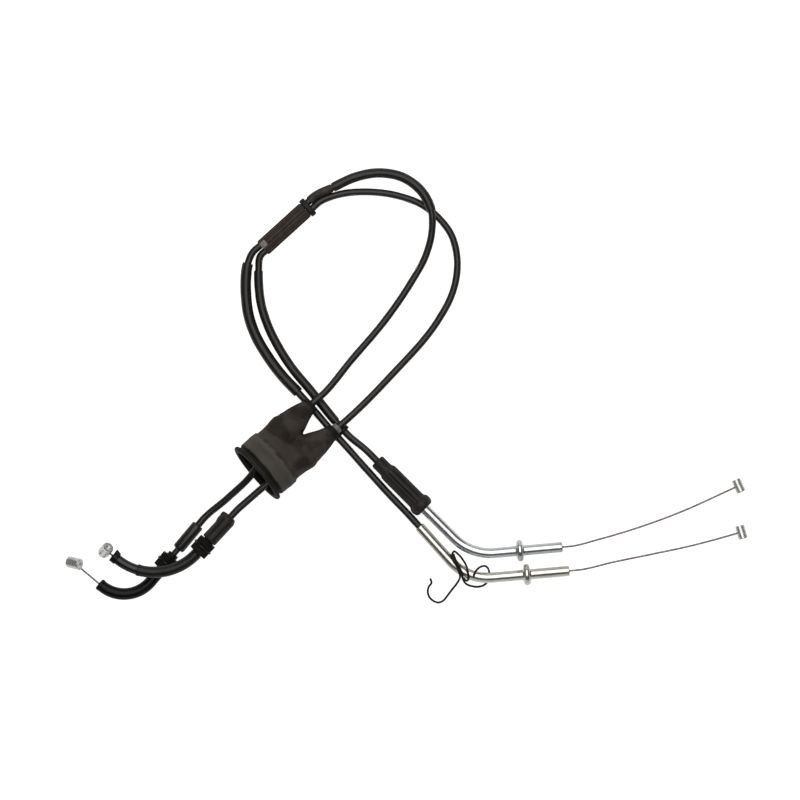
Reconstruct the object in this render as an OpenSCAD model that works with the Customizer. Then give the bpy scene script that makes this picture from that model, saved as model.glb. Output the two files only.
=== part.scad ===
// A pair of motorcycle throttle cables: the pull cable opens the throttle and
// the return cable closes it. Millimetres, +Z up, lying on the plane Z = 0.
// X runs from the carburettor ends (-X) to the twist-grip ends (+X).

/* [Cable] */
// Outer diameter of each conduit's jacket
conduit_d = 5; // [4.8:0.1:5]
// Diameter of the stranded inner wire
wire_d = 1.5; // [1.2:0.1:1.6]

/* [Grip end] */
// Outer diameter of the plated guide tubes
tube_d = 7.2; // [6.8:0.1:7.2]
// Bore of the guide tubes
tube_bore = 4.4; // [4:0.1:4.4]
// Centreline radius of the guide tubes' bends
tube_bend_r = 35; // [34.9:0.1:35.1]
// Diameter of the collars that locate the tubes in the throttle housing
collar_d = 15; // [13:0.5:15]
// Thickness of the collars
collar_w = 4.5; // [3:0.5:4.5]
// Diameter of the nipples that seat in the throttle drum
grip_nipple_d = 6.4; // [6:0.1:6.4]
// Length of the nipples that seat in the throttle drum
grip_nipple_l = 9.5; // [8:0.5:10]

/* [Carburettor end] */
// Outer diameter of the pull cable's elbow
pull_elbow_d = 8.2; // [7.8:0.1:8.2]
// Outer diameter of the return cable's elbow, under its sleeve
return_elbow_d = 7; // [6.6:0.1:7]
// Bore of both elbows
elbow_bore = 4.4; // [4:0.1:4.4]
// Thread diameter of the adjuster stems
stem_d = 8; // [7.8:0.1:8]
// Size across flats of the lock nuts
nut_af = 13; // [12:0.5:13]
// Thickness of each lock nut
nut_t = 4.5; // [3.5:0.5:4.5]
// Diameter of the washer between each pair of lock nuts
washer_d = 15.2; // [15:0.1:15.2]
// Diameter of the nipples that seat in the carburettor's pulley
carb_nipple_d = 8; // [7:0.5:8]
// Length of the nipples that seat in the carburettor's pulley
carb_nipple_l = 10; // [9:0.5:10]

/* [Boot] */
// Length of the two-legged rubber boot
boot_l = 61.5; // [60:0.5:61.5]
// Diameter of the boot's rim
boot_rim_d = 46.4; // [45:0.1:46.4]
// Thickness of the boot's wall
boot_wall = 1.8; // [1.4:0.1:2]
// Tilt of the boot as it lies, rim on the ground
boot_tilt = 9.5; // [9.4:0.1:9.6]

/* [Grip adjuster cover] */
// Diameter of the cover's ribbed body
cover_d = 12.8; // [12.4:0.1:13]
// Diameter of the cover's flange
cover_flange_d = 16; // [15:0.5:16]
// Diameter of the cover's neck
cover_neck_d = 10.4; // [9.6:0.2:10.8]

/* [Hidden] */
$fn = 48;
run_fit = 0.05;   // radial clearance of a part that turns or slides on another
slip_fit = 0.25;  // radial clearance of rubber on a conduit
sides = 8;        // sides of the swept tubes
span_max = 24;    // longest distance between two rings of a swept tube

// Layers of a conduit, from the jacket inwards
armour_r = 1.95;
liner_r = 1.45;
liner_bore_r = 1.0;
layer_gap = 0.05;

// Both guide tubes: where the straight run begins, its heading and its height
pull_tube_at = [69.5, -18, 7.5];
pull_tube_dir = -48;
pull_tube_turn = 53;
pull_tube_run = 32;
pull_tip_run = 53.3;
return_tube_at = [62.5, 5, 8.5];
return_tube_dir = -45;
return_tube_turn = 50;
return_tube_run = 44;
return_tip_run = 47;
collar_back = 29.5;   // from a tube's tip to the middle of its collar
tube_seat = 12;       // how far the pull conduit goes into its guide tube

// Both elbows: where the adjuster begins, its heading towards the elbow, its height
pull_carb_at = [-83, -17, 7.6];
pull_carb_dir = 230;
pull_elbow_run = 50.9;
pull_elbow_r = 24;
pull_elbow_turn = 90;
pull_mouth_run = 1;
return_carb_at = [-60, -11, 18.8];
return_carb_dir = 227;
return_elbow_run = 34.7;
return_elbow_r = 40;
return_elbow_turn = 85;
return_mouth_run = 3.35;
bore_r = elbow_bore / 2;

// The pull cable's adjuster, as distances from pull_carb_at towards the elbow
pull_ferrule_l = 21.7;
pull_seat = 12;
pull_neck_l = 4.3;
pull_ferrule_r = 4.2;
pull_neck_r = 2.1;
pull_stem_from = 26.1;
pull_stem_to = 42;
pull_nuts_from = 28.6;
// The return cable's adjuster, as distances from return_carb_at towards the elbow
return_cover_l = 22.4;
return_cover_r = 5.6;
return_ferrule_from = 2.1;
return_ferrule_to = 12;
return_seat = 10;
return_stem_to = 34;
return_nuts_from = 22.9;
washer_t = 1.5;
nut_gap = 0.2;

// The boot: the middle of its mouth, its heading, and the offset of its legs
boot_at = [-42.7, 18.3, 24.3];
boot_dir = 40.4;
leg_off = 12;
leg_root_off = 11.3;
leg_splay = 1.6;
leg_tip_r = 5.2;
leg_root_r = 9.2;
leg_root = 36;
shoulder = 18;
tip_snug = 8.5;

// The grip adjuster under its cover, as distances from return_tube_at along the tube
neck_from = -31.5;
body_from = -16;
flange_from = 8.5;
flange_to = 15.5;
screw_head_r = 4.2;
screw_r = 3;
inline_af = 9;

// The sleeve that holds both conduits together, from end to end
bundle_a = [-6, 203.5, 4.5];
bundle_b = [-38.5, 174, 4.5];
bundle_off = 2.6;
bundle_r = 3.4;
ring_r = 4.5;
ring_l = 4;

// --- directions and places ---
function ahead(p, dir, l) = p + l * [cos(dir), sin(dir), 0];
function left_of(dir) = [-sin(dir), cos(dir), 0];
function unit(v) = v / norm(v);
// end of a run, an arc and a second run; turn is positive to the left
function arc_mid(p, dir, turn, r) = p + sign(turn) * r * left_of(dir);
function arc_end(p, dir, turn, r) =
    arc_mid(p, dir, turn, r) - sign(turn) * r * left_of(dir + turn);
boot_axis = [cos(boot_tilt) * cos(boot_dir), cos(boot_tilt) * sin(boot_dir), -sin(boot_tilt)];
function boot_point(s, off) = boot_at + s * boot_axis + off * left_of(boot_dir);

pull_tip = ahead(arc_end(ahead(pull_tube_at, pull_tube_dir, pull_tube_run),
    pull_tube_dir, pull_tube_turn, tube_bend_r), pull_tube_dir + pull_tube_turn, pull_tip_run);
pull_tip_dir = pull_tube_dir + pull_tube_turn;
return_tip = ahead(arc_end(ahead(return_tube_at, return_tube_dir, return_tube_run),
    return_tube_dir, return_tube_turn, tube_bend_r), return_tube_dir + return_tube_turn, return_tip_run);
return_tip_dir = return_tube_dir + return_tube_turn;
pull_mouth_dir = pull_carb_dir - pull_elbow_turn;
pull_mouth = ahead(arc_end(ahead(pull_carb_at, pull_carb_dir, pull_elbow_run),
    pull_carb_dir, -pull_elbow_turn, pull_elbow_r), pull_mouth_dir, pull_mouth_run);
return_mouth_dir = return_carb_dir - return_elbow_turn;
return_mouth = ahead(arc_end(ahead(return_carb_at, return_carb_dir, return_elbow_run),
    return_carb_dir, -return_elbow_turn, return_elbow_r), return_mouth_dir, return_mouth_run);

// --- routes of the conduits, from the carburettor end to the grip end ---
bundle_u = unit(bundle_b - bundle_a);
bundle_n = [bundle_u[1], -bundle_u[0], 0];
function bundle_point(l, off) = bundle_a + l * bundle_u + off * bundle_n;
bundle_l = norm(bundle_b - bundle_a);
pull_route = [
    ahead(pull_carb_at, pull_carb_dir, pull_seat),
    pull_carb_at,
    ahead(pull_carb_at, pull_carb_dir, -5),
    [-62.6, 1.6, 10], [-44.3, 20, 15.6], [-37.8, 32.5, 19],
    boot_point(24, leg_off), boot_point(33, leg_off), boot_point(47, leg_off),
    boot_point(62, leg_off), boot_point(70, leg_off),
    [22.5, 96.5, 6.8], [46.5, 125, 4.2], [63, 149, 3.2], [74, 169, 4.6],
    [78, 184, 7.2], [77.8, 199.5, 9.6], [71.5, 212.5, 8.6], [59, 222.5, 6.2],
    [43, 226, 4.6], [25.5, 223.2, 3.9], [9.8, 216, 3.8],
    bundle_point(-6, bundle_off), bundle_point(0, bundle_off),
    bundle_point(bundle_l, bundle_off), bundle_point(bundle_l + 7, bundle_off),
    [-48.8, 163.6, 4.2], [-50.2, 153, 3.9], [-50, 140, 3.9], [-48.4, 128, 3.9],
    [-43.3, 113.4, 3.9], [-35.4, 99.7, 3.9], [-24.5, 85.2, 3.9], [-14, 74.2, 3.9],
    [-1.5, 60.2, 3.6], [7.5, 49.7, 4.1], [11.6, 45.2, 4.2], [15.7, 40.8, 4.3],
    [30.7, 24, 4.5], [46, 7, 5.4],
    ahead(pull_tube_at, pull_tube_dir, -7), pull_tube_at,
    ahead(pull_tube_at, pull_tube_dir, tube_seat)
];
return_route = [
    ahead(return_carb_at, return_carb_dir, return_seat),
    return_carb_at,
    ahead(return_carb_at, return_carb_dir, -6),
    [-48.5, 0, 19], [-37.5, 9.5, 19.6], [-25.5, 19, 20.5],
    boot_point(24, -leg_off), boot_point(33, -leg_off), boot_point(47, -leg_off),
    boot_point(62, -leg_off), boot_point(70, -leg_off),
    [50, 86, 5], [83, 125, 2.6], [91, 139.5, 2.5], [94.6, 151, 2.5],
    [95.7, 167, 2.5], [91.8, 183, 2.5], [82.5, 195.5, 2.5], [71.5, 204, 2.5],
    [54, 210.5, 2.5], [33.5, 213, 2.5], [14.2, 211.2, 2.8],
    bundle_point(-6, -bundle_off), bundle_point(0, -bundle_off),
    bundle_point(bundle_l, -bundle_off), bundle_point(bundle_l + 4, -bundle_off),
    [-41.4, 158.5, 3.5], [-41.2, 147, 3.3], [-39.5, 134.5, 3.3], [-35, 120.5, 3.3],
    [-27, 104.5, 3.3], [-17.8, 90.5, 3.3], [-6.8, 77.4, 3.3], [2, 66.4, 3.6],
    [12, 54.2, 4.8], [16.1, 49.7, 5.1], [20.2, 45.2, 5.6],
    ahead(return_tube_at, return_tube_dir, -42) - [0, 0, 0.1],
    ahead(return_tube_at, return_tube_dir, -28),
    ahead(return_tube_at, return_tube_dir, -11.6)
];
// where the sleeves begin and end, as places in those lists of points
pull_loop_sleeve_from = 16;
pull_loop_sleeve_to = 21;
pull_sleeve_from = 26;
pull_sleeve_to = 33;
return_sleeve_from = 26;
return_sleeve_to = 34;
pull_clip_at = 36;
return_clip_at = 35;

// --- the bare wires ---
wire_inside = 15;   // how far a grip wire reaches into its guide tube
carb_inside = 6;    // how far a carburettor wire reaches into its elbow
pull_grip_nipple_at = [292, -22, 3.3];
return_grip_nipple_at = [290, 10, 3.3];
pull_grip_route = [
    ahead(pull_tip, pull_tip_dir, -wire_inside), pull_tip, ahead(pull_tip, pull_tip_dir, 6),
    [204, -42.5, 6.6], [231, -37, 5.4], [259, -31, 4.2], [278, -26, 3.5],
    pull_grip_nipple_at
];
return_grip_route = [
    ahead(return_tip, return_tip_dir, -wire_inside), return_tip, ahead(return_tip, return_tip_dir, 6),
    [193, -27, 7.6], [226, -17, 6], [255, -6, 4.4], [276, 3.5, 3.6],
    return_grip_nipple_at
];
pull_carb_reach = 23.5;     // from the elbow's mouth to the middle of the nipple
return_carb_reach = 7.4;
pull_carb_nipple_tilt = [0, 60, -12];
return_carb_nipple_tilt = [0, 33, 45];

// --- the spring clip's wire, round the pull cable's guide tube ---
clip_wire_r = 0.7;
clip_route = [
    [77, -54, 0.8], [78, -57, 0.8], [76, -60, 0.8], [75.4, -63, 0.8], [76.5, -67, 0.8],
    [80, -70, 0.8], [82.5, -70.8, 0.8], [86, -69.5, 0.8], [89, -66, 0.8], [92, -62, 1],
    [95.5, -57.5, 2.4], [97.4, -54, 5.5], [97.6, -52.4, 9], [97, -49.6, 12],
    [94.8, -44.4, 12.8], [93.2, -40.2, 12.3], [92.3, -36.6, 9.7], [93.8, -35.2, 7],
    [96.2, -37, 7], [99.6, -41, 9.8], [102, -45.4, 12.7], [103, -49.8, 13.1],
    [103.2, -54.4, 11], [102.2, -55.4, 8], [101, -54.8, 5.2], [98.6, -49.8, 2.4],
    [95.4, -43.6, 2.2], [93.4, -38.6, 3.4], [93.3, -37.4, 6.6], [93.4, -38, 10],
    [94.6, -41, 12.7], [96.4, -44.4, 13.2], [98.4, -48.8, 12.8], [99.6, -54.2, 10.8],
    [101.8, -57.6, 7.6], [105.4, -59.2, 4.6], [109.8, -59.8, 3], [114, -58.8, 2.2],
    [117.4, -55, 2], [118, -50.6, 2.6], [116.8, -46.8, 5], [114.6, -45.2, 8.4],
    [111.6, -45.8, 11], [108.8, -48, 12.6], [107.2, -51, 12.8], [107, -53, 12.6]
];

// --- smooth curves and swept tubes ---
function step(r, i) = norm(r[i + 1] - r[i]);
function way(r, i) = (r[i + 1] - r[i]) / step(r, i);
// direction at a route point, weighted towards its nearer neighbour
function tangent(r, i) =
    i == 0 ? way(r, 0)
    : i == len(r) - 1 ? way(r, i - 1)
    : (way(r, i) * step(r, i - 1) + way(r, i - 1) * step(r, i)) / (step(r, i) + step(r, i - 1));
function hermite(r, i, t) =
    (2 * t * t * t - 3 * t * t + 1) * r[i]
    + (t * t * t - 2 * t * t + t) * step(r, i) * tangent(r, i)
    + (3 * t * t - 2 * t * t * t) * r[i + 1]
    + (t * t * t - t * t) * step(r, i) * tangent(r, i + 1);
function smooth(r, from, to) = [
    for (i = [from : to - 1])
        let (n = ceil(step(r, i) / span_max))
        for (k = [0 : n - 1]) hermite(r, i, k / n),
    r[to]
];
function heading(p, i) = unit(p[min(i + 1, len(p) - 1)] - p[max(i - 1, 0)]);
// a side direction for each ring, carried along the path without twisting
function carried(v, t) = unit(v - (v * t) * t);
function side_dirs(p, i = 0, before = [0, 0, 1]) =
    i == len(p) ? [] : let (v = carried(before, heading(p, i))) concat([v], side_dirs(p, i + 1, v));
function ring(c, t, v, r, n) =
    [for (k = [0 : n - 1]) let (a = 360 * k / n) c + r * (cos(a) * v + sin(a) * cross(t, v))];

function reversed(f) = [for (k = [len(f) - 1 : -1 : 0]) f[k]];

// A rod (bore 0) or a tube swept along a path, as one closed polyhedron
module swept(p, r, bore = 0, n = sides) {
    v = side_dirs(p);
    m = len(p);
    outer = [for (i = [0 : m - 1]) each ring(p[i], heading(p, i), v[i], r, n)];
    inner = bore > 0 ? [for (i = [0 : m - 1]) each ring(p[i], heading(p, i), v[i], bore, n)] : [];
    o = m * n;
    skin = [
        for (i = [0 : m - 2], k = [0 : n - 1])
            let (a = i * n + k, b = i * n + (k + 1) % n)
            each [[a, b, b + n], [a, b + n, a + n]]
    ];
    lining = bore > 0 ? [for (f = skin) [f[0] + o, f[2] + o, f[1] + o]] : [];
    ends = bore > 0
        ? [for (k = [0 : n - 1])
            let (a = k, b = (k + 1) % n, c = (m - 1) * n + k, d = (m - 1) * n + (k + 1) % n)
            each [[b, a, a + o], [b, a + o, b + o], [c, d, d + o], [c, d + o, c + o]]]
        : [[for (k = [n - 1 : -1 : 0]) k], [for (k = [0 : n - 1]) (m - 1) * n + k]];
    polyhedron(concat(outer, inner), [for (f = concat(skin, lining, ends)) reversed(f)]);
}

// --- placing solids of revolution ---
// children's +Z runs along heading dir from point p, pitched down by pitch
module along(p, dir, pitch = 0) translate(p) rotate([0, 0, dir]) rotate([0, 90 + pitch, 0]) children();
// children's +Z runs from p towards q
module towards(p, q) {
    d = q - p;
    translate(p) rotate([0, acos(d[2] / norm(d)), atan2(d[1], d[0])]) children();
}
module pipe(r, bore, l) difference() {
    cylinder(r = r, h = l);
    translate([0, 0, -1]) cylinder(r = bore, h = l + 2);
}
module hex(af, l) cylinder(d = af / cos(30), h = l, $fn = 6);
// a run, an arc and a run of tube, with a slight swage where each run meets the arc
module swage(r, bore) translate([0, 0, -0.6]) pipe(r + 0.03, bore - 0.03, 1.2);
module bent_pipe(p, dir, run, turn, bend_r, last, r, bore, seat = 0) {
    a = ahead(p, dir, run);
    b = arc_end(a, dir, turn, bend_r);
    along(p, dir) difference() {
        cylinder(r = r, h = run);
        translate([0, 0, -1]) cylinder(r = bore, h = run + 2);
        if (seat > 0) translate([0, 0, -1]) cylinder(r = conduit_d / 2 + run_fit, h = seat + 1);
    }
    along(a, dir) swage(r, bore);
    translate(arc_mid(a, dir, turn, bend_r)) rotate([0, 0, turn > 0 ? dir - 90 : dir + 90 + turn])
        rotate_extrude(angle = abs(turn)) translate([bend_r, 0]) difference() {
            circle(r = r);
            circle(r = bore);
        }
    along(b, dir + turn) swage(r, bore);
    along(b, dir + turn) pipe(r, bore, last);
}
module barrel_nipple(d, l) {
    chamfer = 0.4;
    rotate_extrude() polygon([
        [0, -l / 2], [d / 2 - chamfer, -l / 2], [d / 2, -l / 2 + chamfer],
        [d / 2, l / 2 - chamfer], [d / 2 - chamfer, l / 2], [0, l / 2]
    ]);
}
module conduit_layer(route, r, bore) swept(smooth(route, 0, len(route) - 1), r, bore);

// --- the conduits ---
jacket_colour = [0.16, 0.15, 0.14];
steel_colour = [0.78, 0.8, 0.82];
module jacket(route) color(jacket_colour) conduit_layer(route, conduit_d / 2, armour_r + layer_gap);
module armour(route) color("gray") conduit_layer(route, armour_r, liner_r + layer_gap);
module liner(route) color("ivory") conduit_layer(route, liner_r, liner_bore_r);
module pull_jacket() jacket(pull_route);
module pull_armour() armour(pull_route);
module pull_liner() liner(pull_route);
module return_jacket() jacket(return_route);
module return_armour() armour(return_route);
module return_liner() liner(return_route);

// the wire inside: through the elbow, the conduit and the guide tube
function elbow_points(p, dir, run, turn, r, last) = let (a = ahead(p, dir, run), n = 6)
    [for (k = [n : -1 : 1]) arc_end(a, dir, turn * k / n, r), a];
function tube_points(p, dir, run, turn, r) = let (a = ahead(p, dir, run), n = 4)
    [a, for (k = [1 : n]) arc_end(a, dir, turn * k / n, r)];
module core_wire(elbow, route, tube) color("silver")
    swept(concat(elbow, smooth(route, 0, len(route) - 1), tube), wire_d / 2);
module pull_core_wire() core_wire(
    elbow_points(pull_carb_at, pull_carb_dir, pull_elbow_run, -pull_elbow_turn * 0.8, pull_elbow_r),
    pull_route,
    concat(tube_points(pull_tube_at, pull_tube_dir, pull_tube_run, pull_tube_turn, tube_bend_r),
        [ahead(pull_tip, pull_tip_dir, -wire_inside - 0.2)]));
module return_core_wire() core_wire(
    elbow_points(return_carb_at, return_carb_dir, return_elbow_run, -return_elbow_turn * 0.85,
        return_elbow_r),
    return_route,
    concat(tube_points(return_tube_at, return_tube_dir, return_tube_run, return_tube_turn, tube_bend_r),
        [ahead(return_tip, return_tip_dir, -wire_inside - 0.2)]));

// --- the grip ends ---
module grip_wire(route) color([0.56, 0.52, 0.5]) swept(smooth(route, 0, len(route) - 1), wire_d / 2);
module pull_grip_wire() grip_wire(pull_grip_route);
module return_grip_wire() grip_wire(return_grip_route);

// a nipple lies flat, across the wire that ends in it
module grip_nipple(route) color(steel_colour) {
    last = len(route) - 1;
    d = route[last] - route[last - 1];
    difference() {
        translate(route[last]) rotate([90, 0, atan2(d[1], d[0])]) barrel_nipple(grip_nipple_d, grip_nipple_l);
        towards(route[last] + unit(d) * 0.1, route[last - 1])
            cylinder(r = wire_d / 2 + run_fit, h = grip_nipple_d);
    }
}
module pull_grip_nipple() grip_nipple(pull_grip_route);
module return_grip_nipple() grip_nipple(return_grip_route);

module guide_tube(p, dir, run, turn, last, seat) color(steel_colour)
    bent_pipe(p, dir, run, turn, tube_bend_r, last, tube_d / 2, tube_bore / 2, seat);
module pull_guide_tube()
    guide_tube(pull_tube_at, pull_tube_dir, pull_tube_run, pull_tube_turn, pull_tip_run, tube_seat);
module return_guide_tube()
    guide_tube(return_tube_at, return_tube_dir, return_tube_run, return_tube_turn, return_tip_run, 0);
module collar(tip, dir) color(steel_colour)
    along(ahead(tip, dir, -collar_back - collar_w / 2), dir) difference() {
        edge = 0.7;
        rotate_extrude() polygon([
            [0, 0], [collar_d / 2 - edge, 0], [collar_d / 2, edge],
            [collar_d / 2, collar_w - edge], [collar_d / 2 - edge, collar_w], [0, collar_w]
        ]);
        translate([0, 0, -1]) cylinder(d = tube_d, h = collar_w + 2);
    }
module pull_collar() collar(pull_tip, pull_tip_dir);
module return_collar() collar(return_tip, return_tip_dir);

// --- the adjuster on the return cable's grip end, and its rubber cover ---
module on_tube(l) along(ahead(return_tube_at, return_tube_dir, l), return_tube_dir) children();
// hollow screw whose head holds the end of the conduit
module grip_adjuster_screw() color("silver") difference() {
    union() {
        on_tube(body_from + 0.2) cylinder(r = screw_head_r, h = 5.8);
        on_tube(body_from + 5) cylinder(r = screw_r, h = 10.5);
    }
    on_tube(body_from - 1) cylinder(r = conduit_d / 2 + run_fit, h = 5.4);
    on_tube(body_from) cylinder(r = 1.2, h = 17);
}
module grip_adjuster_nut() color("silver") on_tube(-9.9) difference() {
    hex(inline_af, 2.2);
    translate([0, 0, -1]) cylinder(r = screw_r + run_fit, h = 5);
}
module grip_adjuster_barrel() color("silver") on_tube(-7.5) difference() {
    hex(inline_af, 13.5);
    translate([0, 0, -1]) cylinder(r = screw_r + run_fit, h = 9);
    translate([0, 0, 7.3]) cylinder(r = tube_d / 2 + run_fit, h = 8);
}
module grip_adjuster_cover() color(jacket_colour) {
    neck_l = body_from - neck_from;
    body_l = flange_from - body_from;
    on_tube(neck_from) difference() {
        rotate_extrude() polygon([
            [0, 0], [cover_neck_d / 2, 0], [cover_neck_d / 2, neck_l - 6.6],
            [cover_d / 2, neck_l - 5], [cover_d / 2, neck_l + body_l],
            [cover_flange_d / 2, neck_l + body_l], [cover_flange_d / 2, flange_to - neck_from],
            [0, flange_to - neck_from]
        ]);
        translate([0, 0, -1]) cylinder(r = conduit_d / 2 + slip_fit, h = neck_l + 2);
        translate([0, 0, neck_l]) cylinder(r = inline_af / 2 / cos(30) + 0.2, h = body_l + 10);
    }
}

// --- the carburettor ends ---
module on_pull(l) along(ahead(pull_carb_at, pull_carb_dir, l), pull_carb_dir) children();
module on_return(l) along(ahead(return_carb_at, return_carb_dir, l), return_carb_dir) children();
black = [0.07, 0.07, 0.07];
module pull_ferrule() color(jacket_colour) difference() {
    union() {
        on_pull(0) cylinder(r = pull_ferrule_r, h = pull_ferrule_l);
        on_pull(pull_ferrule_l - 1) cylinder(r = pull_neck_r, h = pull_neck_l + 1);
    }
    on_pull(-1) cylinder(r = conduit_d / 2 + run_fit, h = pull_seat + 1 + run_fit);
    on_pull(1) cylinder(r = 1.2, h = pull_ferrule_l + pull_neck_l);
}
module return_ferrule() color("silver") difference() {
    on_return(return_ferrule_from) cylinder(r = 3.4, h = return_ferrule_to - return_ferrule_from);
    on_return(return_ferrule_from - 1) cylinder(r = conduit_d / 2 + run_fit,
        h = return_seat - return_ferrule_from + 1 + run_fit);
    on_return(1) cylinder(r = 1.2, h = return_ferrule_to);
}
module pull_stem() color(black) on_pull(pull_stem_from)
    pipe(stem_d / 2, bore_r, pull_stem_to - pull_stem_from);
module return_stem() color(black) on_return(return_ferrule_to + 0.2)
    pipe(stem_d / 2, bore_r, return_stem_to - return_ferrule_to - 0.2);
module return_adjuster_cover() color(jacket_colour) difference() {
    on_return(0) cylinder(r = return_cover_r, h = return_cover_l);
    on_return(-1) cylinder(r = conduit_d / 2 + slip_fit, h = 4);
    on_return(return_ferrule_from - 0.1) cylinder(r = 3.5, h = 12);
    on_return(return_ferrule_to + 0.1) cylinder(r = stem_d / 2 + 0.1, h = return_cover_l);
}
module lock_nut() difference() {
    hex(nut_af, nut_t);
    translate([0, 0, -1]) cylinder(r = stem_d / 2 + run_fit, h = nut_t + 2);
}
module washer() pipe(washer_d / 2, stem_d / 2 + run_fit, washer_t);
washer_after = nut_t + nut_gap;
nut_after = washer_after + washer_t + nut_gap;
module pull_nut_rear() color(black) on_pull(pull_nuts_from) lock_nut();
module pull_washer() color(black) on_pull(pull_nuts_from + washer_after) washer();
module pull_nut_front() color(black) on_pull(pull_nuts_from + nut_after) lock_nut();
module return_nut_rear() color(black) on_return(return_nuts_from) lock_nut();
module return_washer() color(black) on_return(return_nuts_from + washer_after) washer();
module return_nut_front() color(black) on_return(return_nuts_from + nut_after) lock_nut();

module pull_elbow() color(black) bent_pipe(ahead(pull_carb_at, pull_carb_dir, pull_stem_to),
    pull_carb_dir, pull_elbow_run - pull_stem_to, -pull_elbow_turn, pull_elbow_r, pull_mouth_run,
    pull_elbow_d / 2, bore_r);
module pull_elbow_bush() color(black) along(pull_mouth, pull_mouth_dir) difference() {
    union() {
        cylinder(d = pull_elbow_d + 0.4, h = 1.5);
        translate([0, 0, -0.9]) cylinder(r = bore_r - run_fit, h = 1);
    }
    translate([0, 0, -2]) cylinder(r = 1.3, h = 5);
}
module return_elbow() color(black) bent_pipe(ahead(return_carb_at, return_carb_dir, return_stem_to),
    return_carb_dir, return_elbow_run - return_stem_to, -return_elbow_turn, return_elbow_r,
    return_mouth_run, return_elbow_d / 2, bore_r);
// sleeve over most of the return elbow's arc
module return_elbow_sleeve() color(black) {
    covered = 64;
    a = ahead(return_carb_at, return_carb_dir, return_elbow_run);
    translate(arc_mid(a, return_carb_dir, -1, return_elbow_r))
        rotate([0, 0, return_carb_dir + 90 - covered])
        rotate_extrude(angle = covered) translate([return_elbow_r, 0]) difference() {
            circle(r = 4.1);
            circle(r = return_elbow_d / 2 + run_fit);
        }
}
// bush over the end of the return elbow, with a pointed lip on its outer side
module return_elbow_bush() color(black) along(ahead(return_mouth, return_mouth_dir, -3), return_mouth_dir)
    difference() {
        union() {
            cylinder(r = 4.2, h = 4.5);
            translate([-1.2, -4.9, 1.5]) cube([2.4, 2.4, 3]);
        }
        translate([0, 0, -1]) cylinder(r = return_elbow_d / 2 + run_fit, h = 4);
        cylinder(r = 1.3, h = 6);
    }

module carb_wire(mouth, dir, reach) color([0.56, 0.52, 0.5])
    along(ahead(mouth, dir, -carb_inside), dir) cylinder(d = wire_d, h = carb_inside + reach);
module pull_carb_wire() carb_wire(pull_mouth, pull_mouth_dir, pull_carb_reach);
module return_carb_wire() carb_wire(return_mouth, return_mouth_dir, return_carb_reach);
module carb_nipple(mouth, dir, reach, tilt) color(steel_colour) difference() {
    translate(ahead(mouth, dir, reach)) rotate(tilt) barrel_nipple(carb_nipple_d, carb_nipple_l);
    along(mouth, dir) cylinder(r = wire_d / 2 + run_fit, h = reach + 0.1);
}
module pull_carb_nipple() carb_nipple(pull_mouth, pull_mouth_dir, pull_carb_reach, pull_carb_nipple_tilt);
module return_carb_nipple()
    carb_nipple(return_mouth, return_mouth_dir, return_carb_reach, return_carb_nipple_tilt);

// --- the boot ---
module in_boot() along(boot_at, boot_dir, boot_tilt) children();
// the body of revolution, from the rim to the shoulder
module boot_body(inset) rotate_extrude() polygon([
    [0, 0], [boot_rim_d / 2 - inset, 0], [boot_rim_d / 2 - inset, 3 - (inset > 0 ? 1 : 0)],
    [20.8 - inset, 3.6], [20.8 - inset, 5], [21.6 - inset, 5.8],
    [21.6 - inset, shoulder], [0, shoulder]
]);
module boot_shoulder(inset) hull() {
    translate([0, 0, shoulder - 0.5]) cylinder(r = 21.2 - inset, h = 0.5, $fn = 32);
    for (side = [-1, 1]) translate([0, side * leg_root_off, leg_root - 2])
        cylinder(r = leg_root_r - inset, h = 2, $fn = 24);
}
module boot_leg(side, inset) translate([0, side * leg_root_off, leg_root - 2.2])
    rotate([side * -leg_splay, 0, 0])
    cylinder(r1 = leg_root_r - inset, r2 = leg_tip_r - inset, h = boot_l - leg_root + 2.2);
module boot() color([0.23, 0.22, 0.2]) in_boot() difference() {
    union() {
        boot_body(0);
        boot_shoulder(0);
        for (side = [-1, 1]) boot_leg(side, 0);
    }
    translate([0, 0, -1]) cylinder(r = 18.6, h = 7);
    translate([0, 0, 5]) cylinder(r = 21.6 - boot_wall, h = shoulder - 5.2);
    boot_shoulder(boot_wall);
    for (side = [-1, 1]) {
        translate([0, side * leg_off, leg_root - 4])
            cylinder(r1 = 6.8, r2 = 4, h = boot_l - tip_snug - leg_root + 4);
        translate([0, side * leg_off, leg_root]) cylinder(r = conduit_d / 2 + slip_fit, h = boot_l);
    }
}
// small band that closes the tip of one leg on its conduit
module boot_band() color("gray") in_boot() translate([0, -leg_off, boot_l + 0.3])
    pipe(conduit_d / 2 + 1.1, conduit_d / 2 + slip_fit, 3);

// --- sleeves, ring and clips on the conduits ---
module on_bundle(l) translate(bundle_point(l, 0)) rotate([0, 0, atan2(bundle_u[1], bundle_u[0])])
    rotate([90, 0, 90]) children();
module bundle_holes(l) for (side = [-1, 1]) translate([side * bundle_off, 0, -1])
    cylinder(r = conduit_d / 2 + 0.08, h = l + 2);
module bundle_sleeve() color([0.2, 0.17, 0.15]) on_bundle(ring_l + 0.2) difference() {
    linear_extrude(bundle_l - ring_l - 0.2) union() {
        for (side = [-1, 1]) translate([side * bundle_off, 0]) circle(r = bundle_r);
        square([2 * bundle_off, 2 * bundle_r], center = true);
    }
    bundle_holes(bundle_l);
}
module bundle_ring() color("black") on_bundle(0) difference() {
    linear_extrude(ring_l) union() {
        for (side = [-1, 1]) translate([side * bundle_off, 0]) circle(r = ring_r);
        square([2 * bundle_off, 2 * ring_r], center = true);
    }
    bundle_holes(ring_l);
}
module sleeve(route, from, to, r) color(jacket_colour)
    swept(smooth(route, from, to), r, (conduit_d / 2 + layer_gap) / cos(180 / sides));
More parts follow.
